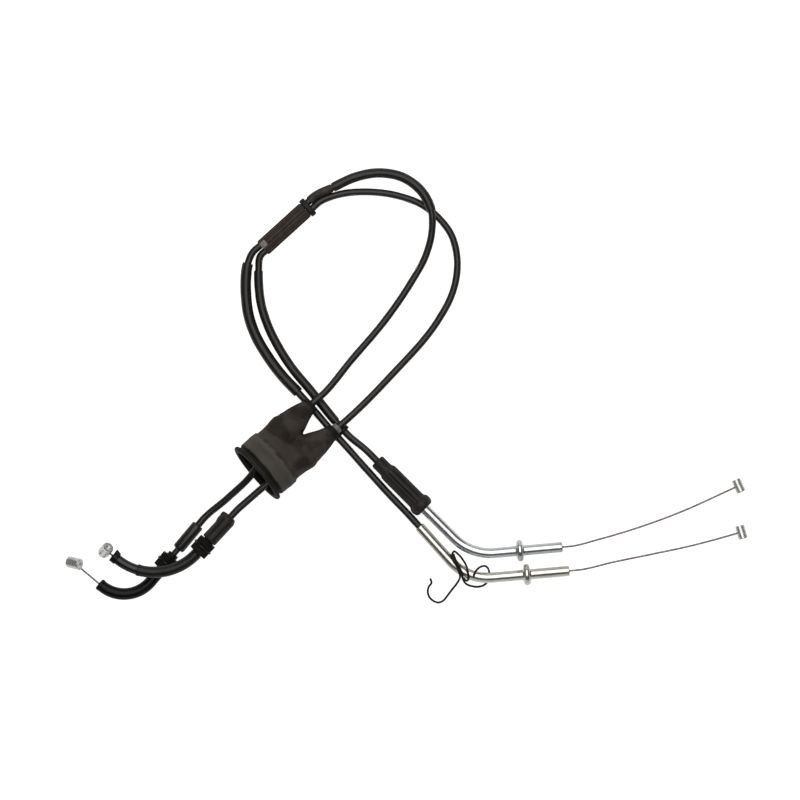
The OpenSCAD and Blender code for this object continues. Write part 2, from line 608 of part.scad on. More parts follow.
module pull_loop_sleeve() sleeve(pull_route, pull_loop_sleeve_from, pull_loop_sleeve_to, 3.4);
module pull_sleeve() sleeve(pull_route, pull_sleeve_from, pull_sleeve_to, 3.8);
module return_sleeve() sleeve(return_route, return_sleeve_from, return_sleeve_to, 3.2);

// one clip round both conduits, just past the boot's legs
module twin_clip() color(black) {
    a = pull_route[pull_clip_at];
    b = return_route[return_clip_at];
    da = unit(pull_route[pull_clip_at + 1] - pull_route[pull_clip_at - 1]);
    db = unit(return_route[return_clip_at + 1] - return_route[return_clip_at - 1]);
    difference() {
        union() {
            towards(a - 3 * da, a) cylinder(r = 4.1, h = 6);
            towards(b - 3 * db, b) cylinder(r = 4.1, h = 6);
            towards((a + b) / 2 - 3 * da, (a + b) / 2) translate([0, 0, 3]) cube([4, 4, 6], center = true);
        }
        towards(a - 6 * da, a) cylinder(r = conduit_d / 2 + 0.1, h = 12);
        towards(b - 6 * db, b) cylinder(r = conduit_d / 2 + 0.1, h = 12);
    }
}
module spring_clip() color([0.2, 0.17, 0.15]) swept(smooth(clip_route, 0, len(clip_route) - 1), clip_wire_r);

pull_jacket();
pull_armour();
pull_liner();
pull_core_wire();
pull_grip_wire();
pull_grip_nipple();
pull_carb_wire();
pull_carb_nipple();
pull_guide_tube();
pull_collar();
pull_elbow();
pull_elbow_bush();
pull_stem();
pull_ferrule();
pull_nut_front();
pull_washer();
pull_nut_rear();
return_jacket();
return_armour();
return_liner();
return_core_wire();
return_grip_wire();
return_grip_nipple();
return_carb_wire();
return_carb_nipple();
return_guide_tube();
return_collar();
return_elbow();
return_elbow_bush();
return_elbow_sleeve();
return_stem();
return_ferrule();
return_adjuster_cover();
return_nut_front();
return_washer();
return_nut_rear();
grip_adjuster_screw();
grip_adjuster_barrel();
grip_adjuster_nut();
grip_adjuster_cover();
boot();
boot_band();
bundle_sleeve();
bundle_ring();
pull_loop_sleeve();
pull_sleeve();
return_sleeve();
twin_clip();
spring_clip();
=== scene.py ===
import math
import bpy
import numpy as np
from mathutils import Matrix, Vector


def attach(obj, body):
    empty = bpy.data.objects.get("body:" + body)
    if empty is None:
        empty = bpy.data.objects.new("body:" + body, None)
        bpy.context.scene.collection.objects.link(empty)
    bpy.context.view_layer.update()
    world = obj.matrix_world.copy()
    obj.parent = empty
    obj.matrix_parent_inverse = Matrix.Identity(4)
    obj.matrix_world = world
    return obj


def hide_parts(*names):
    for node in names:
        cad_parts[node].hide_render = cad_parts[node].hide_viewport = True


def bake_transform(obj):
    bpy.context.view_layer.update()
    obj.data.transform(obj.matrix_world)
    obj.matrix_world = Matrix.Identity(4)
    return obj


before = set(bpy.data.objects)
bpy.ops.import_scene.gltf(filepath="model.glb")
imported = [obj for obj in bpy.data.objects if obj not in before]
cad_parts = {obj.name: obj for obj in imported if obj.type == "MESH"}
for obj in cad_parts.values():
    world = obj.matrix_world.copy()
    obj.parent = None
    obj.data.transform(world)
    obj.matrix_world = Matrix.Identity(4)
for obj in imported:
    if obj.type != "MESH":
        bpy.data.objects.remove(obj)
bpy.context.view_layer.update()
MM = 0.001
TAU = 2 * math.pi
ROOT = "cable_set"
# in mm, as everything up to the cords is
CONDUIT_R, CONDUIT_BORE = 2.5, 2.05
SLEEVE_BORE = 2.56      # what goes round a conduit
TUBE_BORE = 2.2         # what a liner and its wire run through
WIRE_R = 0.72
UV_LENGTH = 100         # length that one step of v covers


# ------------------------------------------------ camera, light
def make_camera():
    cam = bpy.data.objects.new("camera", bpy.data.cameras.new("camera"))
    bpy.context.collection.objects.link(cam)
    distance, covered, level, sensor = 3.0, 0.552, 0.006, 36
    cam.location = (0.0562, 0.0692, distance)
    cam.data.sensor_width = sensor
    cam.data.lens = sensor * (distance - level) / covered
    bpy.context.scene.camera = cam


def area_light(name, place, target, size, power, colour=(1, 1, 1)):
    light = bpy.data.lights.new(name, "AREA")
    light.shape = "RECTANGLE"
    light.size, light.size_y = size
    light.energy = power
    light.color = colour
    ob = bpy.data.objects.new(name, light)
    ob.location = place
    look = np.array(target, float) - np.array(place, float)
    ob.rotation_euler = Vector(look).to_track_quat("-Z", "Y").to_euler()
    bpy.context.collection.objects.link(ob)


make_camera()


# ------------------------------------------------ places, as in the CAD
def vec(*p):
    return np.array(p, float)


def head(deg):
    return vec(math.cos(math.radians(deg)), math.sin(math.radians(deg)), 0)


def side(deg):
    return vec(-math.sin(math.radians(deg)), math.cos(math.radians(deg)), 0)


def unit(v):
    v = np.asarray(v, float)
    return v / np.linalg.norm(v)


def ahead(p, deg, length):
    return np.asarray(p, float) + length * head(deg)


def arc_end(p, deg, turn, r):
    sign = 1 if turn > 0 else -1
    return np.asarray(p, float) + sign * r * (side(deg) - side(deg + turn))


PULL_TUBE, PULL_TUBE_DIR, PULL_TUBE_TURN = vec(69.5, -18, 7.5), -48, 53
RET_TUBE, RET_TUBE_DIR, RET_TUBE_TURN = vec(62.5, 5, 8.5), -45, 50
BEND_R = 35
PULL_CARB, PULL_CARB_DIR = vec(-83, -17, 7.6), 230
RET_CARB, RET_CARB_DIR = vec(-60, -11, 18.8), 227
BOOT_AT, BOOT_DIR, BOOT_TILT, LEG_OFF = vec(-42.7, 18.3, 24.3), 40.4, 9.5, 12
BOOT_AXIS = vec(*(head(BOOT_DIR)[:2] * math.cos(math.radians(BOOT_TILT))),
                -math.sin(math.radians(BOOT_TILT)))


def chain(p, deg, run, turn, r, last, start=0.0):
    """Points along a run, an arc and a run."""
    a = ahead(p, deg, run)
    n = max(8, int(math.radians(abs(turn)) * r))
    pts = [ahead(p, deg, x) for x in np.linspace(start, run, max(3, int((run - start) / 3)))]
    pts += [arc_end(a, deg, turn * k / n, r) for k in range(1, n + 1)]
    end = pts[-1]
    pts += [ahead(end, deg + turn, x) for x in np.linspace(0, last, max(3, int(last / 3)))[1:]]
    return np.array(pts)


def boot_point(s, off):
    return BOOT_AT + s * BOOT_AXIS + off * side(BOOT_DIR)


BUNDLE_A, BUNDLE_B, BUNDLE_OFF = vec(-6, 203.5, 4.5), vec(-38.5, 174, 4.5), 2.6
BUNDLE_L = np.linalg.norm(BUNDLE_B - BUNDLE_A)
BUNDLE_U = (BUNDLE_B - BUNDLE_A) / BUNDLE_L
BUNDLE_N = vec(BUNDLE_U[1], -BUNDLE_U[0], 0)


def bundle_point(length, off):
    return BUNDLE_A + length * BUNDLE_U + off * BUNDLE_N


PULL_ROUTE = [
    ahead(PULL_CARB, PULL_CARB_DIR, 12), PULL_CARB, ahead(PULL_CARB, PULL_CARB_DIR, -5),
    (-62.6, 1.6, 10), (-44.3, 20, 15.6), (-37.8, 32.5, 19),
    boot_point(24, LEG_OFF), boot_point(33, LEG_OFF), boot_point(47, LEG_OFF),
    boot_point(62, LEG_OFF), boot_point(70, LEG_OFF),
    (22.5, 96.5, 6.8), (46.5, 125, 4.2), (63, 149, 3.2), (74, 169, 4.6),
    (78, 184, 7.2), (77.8, 199.5, 9.6), (71.5, 212.5, 8.6), (59, 222.5, 6.2),
    (43, 226, 4.6), (25.5, 223.2, 3.9), (9.8, 216, 3.8),
    bundle_point(-6, BUNDLE_OFF), bundle_point(0, BUNDLE_OFF),
    bundle_point(BUNDLE_L, BUNDLE_OFF), bundle_point(BUNDLE_L + 7, BUNDLE_OFF),
    (-48.8, 163.6, 4.2), (-50.2, 153, 3.9), (-50, 140, 3.9), (-48.4, 128, 3.9),
    (-43.3, 113.4, 3.9), (-35.4, 99.7, 3.9), (-24.5, 85.2, 3.9), (-14, 74.2, 3.9),
    (-1.5, 60.2, 3.6), (7.5, 49.7, 4.1), (11.6, 45.2, 4.2), (15.7, 40.8, 4.3),
    (30.7, 24, 4.5), (46, 7, 5.4),
    ahead(PULL_TUBE, PULL_TUBE_DIR, -7), PULL_TUBE, ahead(PULL_TUBE, PULL_TUBE_DIR, 12),
]
RET_ROUTE = [
    ahead(RET_CARB, RET_CARB_DIR, 10), RET_CARB, ahead(RET_CARB, RET_CARB_DIR, -6),
    (-48.5, 0, 19), (-37.5, 9.5, 19.6), (-25.5, 19, 20.5),
    boot_point(24, -LEG_OFF), boot_point(33, -LEG_OFF), boot_point(47, -LEG_OFF),
    boot_point(62, -LEG_OFF), boot_point(70, -LEG_OFF),
    (50, 86, 5), (83, 125, 2.6), (91, 139.5, 2.5), (94.6, 151, 2.5),
    (95.7, 167, 2.5), (91.8, 183, 2.5), (82.5, 195.5, 2.5), (71.5, 204, 2.5),
    (54, 210.5, 2.5), (33.5, 213, 2.5), (14.2, 211.2, 2.8),
    bundle_point(-6, -BUNDLE_OFF), bundle_point(0, -BUNDLE_OFF),
    bundle_point(BUNDLE_L, -BUNDLE_OFF), bundle_point(BUNDLE_L + 4, -BUNDLE_OFF),
    (-41.4, 158.5, 3.5), (-41.2, 147, 3.3), (-39.5, 134.5, 3.3), (-35, 120.5, 3.3),
    (-27, 104.5, 3.3), (-17.8, 90.5, 3.3), (-6.8, 77.4, 3.3), (2, 66.4, 3.6),
    (12, 54.2, 4.8), (16.1, 49.7, 5.1), (20.2, 45.2, 5.6),
    ahead(RET_TUBE, RET_TUBE_DIR, -42) - vec(0, 0, 0.1),
    ahead(RET_TUBE, RET_TUBE_DIR, -28), ahead(RET_TUBE, RET_TUBE_DIR, -11.6),
]
PULL_TIP_DIR, RET_TIP_DIR = PULL_TUBE_DIR + PULL_TUBE_TURN, RET_TUBE_DIR + RET_TUBE_TURN
PULL_TUBE_LINE = chain(PULL_TUBE, PULL_TUBE_DIR, 32, PULL_TUBE_TURN, BEND_R, 53.3)
RET_TUBE_LINE = chain(RET_TUBE, RET_TUBE_DIR, 44, RET_TUBE_TURN, BEND_R, 47)
PULL_TIP, RET_TIP = PULL_TUBE_LINE[-1], RET_TUBE_LINE[-1]
PULL_ELBOW_LINE = chain(PULL_CARB, PULL_CARB_DIR, 50.9, -90, 24, 1, 42)
RET_ELBOW_LINE = chain(RET_CARB, RET_CARB_DIR, 34.7, -85, 40, 3.35, 34)
PULL_MOUTH_DIR, RET_MOUTH_DIR = PULL_CARB_DIR - 90, RET_CARB_DIR - 85
PULL_MOUTH, RET_MOUTH = PULL_ELBOW_LINE[-1], RET_ELBOW_LINE[-1]
PULL_GRIP_END, RET_GRIP_END = vec(292, -22, 3.3), vec(290, 10, 3.3)
PULL_GRIP_ROUTE = [
    ahead(PULL_TIP, PULL_TIP_DIR, -15), PULL_TIP, ahead(PULL_TIP, PULL_TIP_DIR, 6),
    (204, -42.5, 6.6), (231, -37, 5.4), (259, -31, 4.2), (278, -26, 3.5), PULL_GRIP_END,
]
RET_GRIP_ROUTE = [
    ahead(RET_TIP, RET_TIP_DIR, -15), RET_TIP, ahead(RET_TIP, RET_TIP_DIR, 6),
    (193, -27, 7.6), (226, -17, 6), (255, -6, 4.4), (276, 3.5, 3.6), RET_GRIP_END,
]
CLIP_ROUTE = [
    (77, -54, 0.8), (78, -57, 0.8), (76, -60, 0.8), (75.4, -63, 0.8), (76.5, -67, 0.8), (80, -70, 0.8),
    (82.5, -70.8, 0.8), (86, -69.5, 0.8), (89, -66, 0.8), (92, -62, 1), (95.5, -57.5, 2.4),
    (97.4, -54, 5.5), (97.6, -52.4, 9), (97, -49.6, 12), (94.8, -44.4, 12.8), (93.2, -40.2, 12.3),
    (92.3, -36.6, 9.7), (93.8, -35.2, 7), (96.2, -37, 7), (99.6, -41, 9.8), (102, -45.4, 12.7),
    (103, -49.8, 13.1), (103.2, -54.4, 11), (102.2, -55.4, 8), (101, -54.8, 5.2), (98.6, -49.8, 2.4),
    (95.4, -43.6, 2.2), (93.4, -38.6, 3.4), (93.3, -37.4, 6.6), (93.4, -38, 10), (94.6, -41, 12.7),
    (96.4, -44.4, 13.2), (98.4, -48.8, 12.8), (99.6, -54.2, 10.8), (101.8, -57.6, 7.6), (105.4, -59.2, 4.6),
    (109.8, -59.8, 3), (114, -58.8, 2.2), (117.4, -55, 2), (118, -50.6, 2.6), (116.8, -46.8, 5),
    (114.6, -45.2, 8.4), (111.6, -45.8, 11), (108.8, -48, 12.6), (107.2, -51, 12.8), (107, -53, 12.6),
]


def gaps_between(pts):
    return np.linalg.norm(np.diff(pts, axis=0), axis=1)


def route_steps(route):
    """The route's points, the gaps between them and the curve's direction at each."""
    pts = np.array([np.asarray(p, float) for p in route])
    gaps = gaps_between(pts)
    ways = np.diff(pts, axis=0) / gaps[:, None]
    tang = np.empty_like(pts)
    tang[0], tang[-1] = ways[0], ways[-1]
    for i in range(1, len(pts) - 1):
        tang[i] = (ways[i] * gaps[i - 1] + ways[i - 1] * gaps[i]) / (gaps[i - 1] + gaps[i])
    return pts, gaps, tang


def smooth(route, first=0, last=None, step=1.5):
    """The CAD's curve through the route's points, sampled more finely."""
    pts, gaps, tang = route_steps(route)
    last = len(pts) - 1 if last is None else last
    out = []
    for i in range(first, last):
        n = max(2, int(math.ceil(gaps[i] / step)))
        for k in range(n):
            t = k / n
            out.append((2 * t**3 - 3 * t**2 + 1) * pts[i] + (t**3 - 2 * t**2 + t) * gaps[i] * tang[i]
                       + (3 * t**2 - 2 * t**3) * pts[i + 1] + (t**3 - t**2) * gaps[i] * tang[i + 1])
    out.append(pts[last])
    return np.array(out)


def run_length(pts):
    return float(gaps_between(pts).sum())


def ways_along(pts):
    """How far along the line each of its points lies."""
    return np.concatenate([[0], np.cumsum(gaps_between(pts))])


def resample(pts, step):
    pts = np.asarray(pts, float)
    s = ways_along(pts)
    x = np.linspace(0, s[-1], max(2, int(round(s[-1] / step)) + 1))
    return np.stack([np.interp(x, s, pts[:, i]) for i in range(3)], 1)


# ------------------------------------------------ materials
def material(name, low, high, scale=60, rough=(0.4, 0.6), metal=0.0, bump=0.15, grain=900,
             spec=0.5, coat=0.0, lines=0, line_bump=0.3, mottle=(0.35, 0.65), edge_wear_and_highlight=None,
             edge_wear_and_highlight_mix=0.5, bands=(), aniso=0.0, stripe=None):
    """Procedural surface: mottled colour, uneven gloss and fine grain. By the piece's UV it can have raised
    lines along it, coloured bands across it and coloured stripes round it; the stripes and some bands are
    painted highlight and painted shade. Its convex edges can be lightened, partly as wear and partly as
    painted highlight."""
    mat = bpy.data.materials.new(name)
    mat.use_nodes = True
    tree = mat.node_tree
    node, link = tree.nodes.new, tree.links.new
    bsdf = tree.nodes["Principled BSDF"]
    bsdf.inputs["Metallic"].default_value = metal
    bsdf.inputs["Specular IOR Level"].default_value = spec
    bsdf.inputs["Coat Weight"].default_value = coat
    bsdf.inputs["Coat Roughness"].default_value = 0.12
    bsdf.inputs["Anisotropic"].default_value = aniso
    coords = node("ShaderNodeTexCoord")

    def noise(size, detail=4):
        n = node("ShaderNodeTexNoise")
        n.inputs["Scale"].default_value = size
        n.inputs["Detail"].default_value = detail
        link(coords.outputs["Object"], n.inputs["Vector"])
        return n.outputs["Fac"]

    def mix(fac, a, b):
        m = node("ShaderNodeMix")
        m.data_type = "RGBA"
        link(fac, m.inputs[0])
        for slot, value in ((6, a), (7, b)):
            if isinstance(value, (tuple, list)):
                m.inputs[slot].default_value = (*value, 1)
            else:
                link(value, m.inputs[slot])
        return m.outputs[2]

    def ranged(value, a, b, lo=0.0, hi=1.0):
        m = node("ShaderNodeMapRange")
        link(value, m.inputs["Value"])
        for key, v in (("From Min", a), ("From Max", b), ("To Min", lo), ("To Max", hi)):
            m.inputs[key].default_value = v
        return m.outputs["Result"]

    def maths(kind, *values):
        n = node("ShaderNodeMath")
        n.operation = kind
        for slot, value in zip(n.inputs, values):
            if isinstance(value, (int, float)):
                slot.default_value = value
            else:
                link(value, slot)
        return n.outputs[0]

    def wave_round(count, kind="SINE"):
        return maths(kind, maths("MULTIPLY", round_it, TAU * count))

    colour = mix(ranged(noise(scale), *mottle), low, high)
    if bands or stripe or lines:
        split = node("ShaderNodeSeparateXYZ")
        link(coords.outputs["UV"], split.inputs[0])
        round_it, along = split.outputs[0], split.outputs[1]
    # bands across the piece; on the boot they carry painted shade in the rim's groove and inside, and a
    # painted highlight line near the rim
    for band in bands:
        ragged = ranged(noise(220, 3), 0.3, 0.7, -band["blur"], band["blur"])
        ramp = node("ShaderNodeValToRGB")
        ramp.color_ramp.interpolation = "LINEAR"
        stops = ramp.color_ramp.elements
        while len(stops) < len(band["stops"]):
            stops.new(0.5)
        for stop, (pos, value) in zip(stops, band["stops"]):
            stop.position = pos
            stop.color = (value, value, value, 1)
        link(maths("ADD", along, ragged), ramp.inputs[0])
        colour = mix(ramp.outputs[0], colour, band["colour"])
    # stripes round the piece: the light ones on the ribbed wrap are painted highlights on its ribs, the
    # near-black ones on the covers are painted shade in grooves and on flats
    if stripe:
        (first, last), fade = stripe["span"], 0.012
        amount = ranged(wave_round(stripe["count"], "COSINE"),
                        stripe["from"], stripe["full"], 0, stripe["mix"])
        amount = maths("MULTIPLY", amount, ranged(along, first - fade, first))
        amount = maths("MULTIPLY", amount, ranged(along, last, last + fade, 1, 0))
        colour = mix(amount, colour, stripe["colour"])
    # lighter convex edges: partly wear, partly a painted highlight on edges and ridges
    if edge_wear_and_highlight:
        geo = node("ShaderNodeNewGeometry")
        edge = ranged(geo.outputs["Pointiness"], 0.52, 0.62, 0, edge_wear_and_highlight_mix)
        colour = mix(edge, colour, edge_wear_and_highlight)
    link(colour, bsdf.inputs["Base Color"])
    link(ranged(noise(scale * 4, 5), 0.3, 0.7, *rough), bsdf.inputs["Roughness"])
    height = noise(grain, 6)
    if lines:
        height = maths("MULTIPLY_ADD", wave_round(lines), line_bump, height)
    relief = node("ShaderNodeBump")
    relief.inputs["Strength"].default_value = bump
    relief.inputs["Distance"].default_value = 0.4 * MM
    link(height, relief.inputs["Height"])
    link(relief.outputs["Normal"], bsdf.inputs["Normal"])
    return mat


PLASTIC = material("conduit plastic", (0.0115, 0.0088, 0.0066), (0.021, 0.0165, 0.0128), 90,
                   (0.22, 0.3), bump=0.06, grain=500, spec=0.5, lines=9, line_bump=0.12)
SHRINK = material("heat shrink", (0.0095, 0.0078, 0.0062), (0.019, 0.0155, 0.0122), 70,
                  (0.25, 0.36), bump=0.16, grain=260, spec=0.45)
# the light stripes along the ribbed wrap are painted highlights on its ribs
BUNDLE_SKIN = material("ribbed wrap", (0.022, 0.0155, 0.012), (0.042, 0.031, 0.025), 160,
                       (0.45, 0.6), bump=0.2, grain=700, spec=0.2,
                       stripe={"count": 26, "from": 0.75, "full": 1, "mix": 0.75, "span": (-9, 9),
                               "colour": (0.15, 0.115, 0.095)})
NECK_BROWN = material("brown sleeve", (0.034, 0.026, 0.022), (0.07, 0.056, 0.049), 240, (0.4, 0.55),
                      bump=0.2, grain=500, spec=0.25)
RING_RUBBER = material("ring rubber", (0.006, 0.0052, 0.0042), (0.012, 0.0105, 0.0088), 120, (0.4, 0.55),
                       spec=0.28)
# Boot bands: the first makes the belt lighter, most at its far end; the second darkens the rim, the groove
# behind it and the legs' far ends, with painted shade in the groove, a thin lighter line near the rim's
# outer edge as a painted highlight, and its near-black end as painted shade inside the boot
BOOT_RUBBER = material("boot rubber", (0.024, 0.018, 0.0142), (0.064, 0.051, 0.043), 70,
                       (0.55, 0.75), bump=0.35, grain=420, spec=0.2, mottle=(0.44, 0.57),
                       edge_wear_and_highlight=(0.12, 0.11, 0.095), edge_wear_and_highlight_mix=0.4,
                       bands=({"blur": 0.012, "colour": (0.105, 0.098, 0.082),
                               "stops": [(0.0, 0.0), (0.085, 0.0), (0.11, 0.8), (0.2, 0.55),
                                         (0.26, 0.95), (0.285, 0.12), (0.5, 0.05), (1.0, 0.0)]},
                              {"blur": 0.006, "colour": (0.0085, 0.0072, 0.006),
                               "stops": [(0.0, 0.95), (0.02, 0.45), (0.036, 0.95), (0.082, 0.92),
                                         (0.095, 0.0), (0.92, 0.0), (0.95, 0.92), (1.0, 0.92)]}))


def cover_rubber(name, count, start, first, last):
    # the near-black stripes are painted shade in the grooves of the grip cover and on the flats of the
    # small cover; the lighter convex edges are partly wear, partly a painted highlight on the ridges
    painted_groove_shade = {"count": count, "from": start, "full": start + 0.25, "mix": 0.85, "span": (first, last),
            "colour": (0.0035, 0.0028, 0.0022)}
    return material(name, (0.0175, 0.0142, 0.0118), (0.036, 0.029, 0.0245), 130, (0.4, 0.54), bump=0.22,
                    grain=600, spec=0.3, edge_wear_and_highlight=(0.085, 0.075, 0.064), edge_wear_and_highlight_mix=0.4, stripe=painted_groove_shade)


GRIP_RUBBER = cover_rubber("grip cover rubber", 12, 0.6, 0.115, 0.39)
CARB_RUBBER = cover_rubber("small cover rubber", 6, 0.32, 0.045, 0.2)
FERRULE_BLACK = material("ferrule black", (0.009, 0.0072, 0.006), (0.019, 0.0155, 0.013), 130, (0.26, 0.36),
                         bump=0.1, grain=500, spec=0.5)
ZINC = material("zinc plate", (0.66, 0.68, 0.71), (0.80, 0.81, 0.82), 45, (0.14, 0.26), metal=1.0,
                bump=0.035, grain=240, aniso=0.2)
ZINC_WARM = material("zinc plate warm", (0.68, 0.66, 0.60), (0.82, 0.80, 0.74), 45, (0.13, 0.24),
                     metal=1.0, bump=0.03, grain=240, aniso=0.2)
DIE_CAST = material("die cast", (0.74, 0.74, 0.72), (0.96, 0.96, 0.94), 380, (0.2, 0.36), metal=0.85,
                    bump=0.2, grain=900, edge_wear_and_highlight=(0.95, 0.95, 0.93), edge_wear_and_highlight_mix=0.35)
STRAND = material("wire strand", (0.26, 0.215, 0.19), (0.52, 0.46, 0.42), 700, (0.3, 0.45),
                  metal=0.6, bump=0.1, grain=2000)
BLACK_PLATE = material("black plate", (0.004, 0.0036, 0.003), (0.0095, 0.0085, 0.0072), 180,
                       (0.3, 0.44), bump=0.12, grain=700, spec=0.3, edge_wear_and_highlight=(0.035, 0.03, 0.026),
                       edge_wear_and_highlight_mix=0.4)
ELBOW_BLACK = material("elbow black", (0.0034, 0.003, 0.0026), (0.007, 0.0062, 0.0054), 80,
                       (0.26, 0.34), bump=0.07, grain=300, spec=0.2)
SLEEVE_BLACK = material("sleeve black", (0.005, 0.0044, 0.0036), (0.0115, 0.0098, 0.008), 80,
                        (0.3, 0.38), bump=0.07, grain=300, spec=0.36)
GLOSS_BLACK = material("gloss black", (0.005, 0.0047, 0.0043), (0.01, 0.0095, 0.009), 120,
                       (0.1, 0.18), bump=0.05, grain=300, spec=0.4, coat=0.2)
CLIP_BLACK = material("clip plastic", (0.005, 0.0044, 0.0038), (0.011, 0.0097, 0.0084), 150,
                      (0.35, 0.5), bump=0.12, grain=700, spec=0.28)
GREY_BAND = material("grey band", (0.15, 0.14, 0.125), (0.3, 0.285, 0.26), 500, (0.45, 0.6))
SPRING = material("spring wire", (0.012, 0.009, 0.007), (0.032, 0.025, 0.02), 300, (0.3, 0.42),
                  metal=0.4, bump=0.1, grain=1500, spec=0.35)
STEEL = material("inner steel", (0.4, 0.4, 0.4), (0.55, 0.55, 0.55), 400, (0.3, 0.4), metal=1.0)
LINER = material("liner", (0.62, 0.6, 0.54), (0.72, 0.7, 0.66), 100, (0.4, 0.5))


# ------------------------------------------------ mesh makers
def add_mesh(name, verts, faces, mat, body, uv=None, replaces=(), sharp=38):
    """verts in mm, uv one pair per vertex. Edges over sharp degrees stay sharp."""
    mesh = bpy.data.meshes.new(name)
    mesh.from_pydata((np.asarray(verts, float) * MM).tolist(), [], [list(f) for f in faces])
    mesh.validate()
    mesh.shade_smooth()
    mesh.set_sharp_from_angle(angle=math.radians(sharp))
    layer = mesh.uv_layers.new(name="UVMap")
    index = np.empty(len(mesh.loops), int)
    mesh.loops.foreach_get("vertex_index", index)
    uv = np.asarray(uv if uv is not None else np.zeros((len(verts), 2)), float)
    layer.data.foreach_set("uv", uv[index].ravel())
    mesh.materials.append(mat)
    ob = bpy.data.objects.new(name, mesh)
    bpy.context.collection.objects.link(ob)
    if body:
        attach(ob, body)
    if replaces:
        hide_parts(*replaces)
    return ob


def frames(pts):
    """Tangents and two sides at each point, carried along without twisting."""
    pts = np.asarray(pts, float)
    t = np.empty_like(pts)
    t[1:-1] = pts[2:] - pts[:-2]
    t[0], t[-1] = pts[1] - pts[0], pts[-1] - pts[-2]
    t /= np.linalg.norm(t, axis=1)[:, None]
    v = np.empty_like(pts)
    last = vec(0, 0, 1) if abs(t[0][2]) < 0.9 else vec(1, 0, 0)
    for i in range(len(pts)):
        last = unit(last - last.dot(t[i]) * t[i])
        v[i] = last
    return t, v, np.cross(t, v)


def grid(m, n, offset=0, flip=False):
    """The faces of m rings of n points each, every ring joined to the next."""
    faces = []
    for i in range(m - 1):
        for k in range(n):
            a, b = i * n + k, i * n + (k + 1) % n
            f = (a, b, b + n, a + n)
            faces.append(tuple(x + offset for x in (f[::-1] if flip else f)))
    return faces


def closed_grid(m, n, flip=False):
    """A grid whose last ring is joined to its first."""
    faces = grid(m, n, flip=flip)
    e = (m - 1) * n
    for k in range(n):
        j = (k + 1) % n
        faces.append((e + j, e + k, k, j) if flip else (e + k, e + j, j, k))
    return faces


def sweep(pts, radius, sides=20, bore=None, inset=0.0):
    """A closed tube or rod along pts. radius is a number or f(s, a) in mm; bore likewise.
    inset rounds both outer end edges by that much."""
    pts = np.asarray(pts, float)
    if inset:
        ends = []
        for p, q in ((pts[0], pts[1]), (pts[-1], pts[-2])):
            ends.append([p, p + unit(q - p) * inset * 0.3, p + unit(q - p) * inset])
        between = [p for p in pts[1:-1] if inset * 1.2 < min(
            np.linalg.norm(p - pts[0]), np.linalg.norm(p - pts[-1]))]
        pts = np.array(ends[0] + between + ends[1][::-1])
    _, v, w = frames(pts)
    a = TAU * np.arange(sides) / sides
    S, A = np.meshgrid(ways_along(pts), a, indexing="ij")

    def skin(r):
        r = r(S, A) if callable(r) else np.full(S.shape, float(r))
        return (pts[:, None, :] + (r * np.cos(A))[..., None] * v[:, None, :]
                + (r * np.sin(A))[..., None] * w[:, None, :])
    outer = skin(radius)
    if inset:
        centre = pts[:, None, :]
        for i, k in ((0, inset), (1, inset * 0.3), (-1, inset), (-2, inset * 0.3)):
            d = outer[i] - centre[i]
            outer[i] = centre[i] + d * (1 - k / np.linalg.norm(d, axis=1)[:, None])
    m, n = len(pts), sides
    verts = [outer.reshape(-1, 3)]
    faces = grid(m, n)
    uv = [np.stack([A / TAU, S / UV_LENGTH], -1).reshape(-1, 2)]
    if bore:
        verts.append(skin(bore).reshape(-1, 3))
        uv.append(uv[0])
        faces += grid(m, n, m * n, flip=True)
        o, e = m * n, (m - 1) * n
        for k in range(n):
            j = (k + 1) % n
            faces.append((j, k, k + o, j + o))
            faces.append((e + k, e + j, e + j + o, e + k + o))
    else:
        faces.append(tuple(range(n))[::-1])
        faces.append(tuple((m - 1) * n + k for k in range(n)))
    return np.concatenate(verts), faces, np.concatenate(uv)


def joined(parts):
    """One mesh out of several (verts, faces, uv)."""
    verts, faces, uvs, base = [], [], [], 0
    for v, f, uv in parts:
        verts.append(v)
        uvs.append(uv)
        faces += [tuple(i + base for i in face) for face in f]
        base += len(v)
    return np.concatenate(verts), faces, np.concatenate(uvs)


def place(deg, pitch=0.0):
    """Columns: along the heading, its left, and up. pitch lowers the heading."""
    d = vec(*(head(deg)[:2] * math.cos(math.radians(pitch))), -math.sin(math.radians(pitch)))
    left = side(deg)
    return np.stack([d, left, np.cross(d, left)], 1)


def lathe(profile, origin, axes, sides=64, radius=None):
    """Revolves (x, r) pairs about the first column of axes. radius(x, a, r) may change r.
    A profile whose ends meet makes a ring; any other gets a flat face at each end."""
    prof = np.array(profile, float)
    ring = np.allclose(prof[0], prof[-1])
    if ring:
        prof = prof[:-1]
    X, A = np.meshgrid(prof[:, 0], TAU * np.arange(sides) / sides, indexing="ij")
    R = np.repeat(prof[:, 1][:, None], sides, 1)
    if radius:
        R = radius(X, A, R)
    local = np.stack([X, R * np.cos(A), R * np.sin(A)], -1)
    verts = np.asarray(origin, float) + local @ axes.T
    m = len(prof)
    if ring:
        faces = closed_grid(m, sides, flip=True)
    else:
        faces = grid(m, sides, flip=True)
        faces.append(tuple(range(sides)))
        faces.append(tuple((m - 1) * sides + k for k in range(sides))[::-1])
    uv = np.stack([A / TAU, X / UV_LENGTH], -1).reshape(-1, 2)
    return verts.reshape(-1, 3), faces, uv


def turned(name, origin, deg, prof, mat, node, sides=72, radius=None, sharp=40, body=ROOT):
    """A lathe piece along a heading."""
    v, f, uv = lathe(prof, origin, place(deg), sides, radius)
    return add_mesh(name, v, f, mat, body, uv, [node], sharp=sharp)


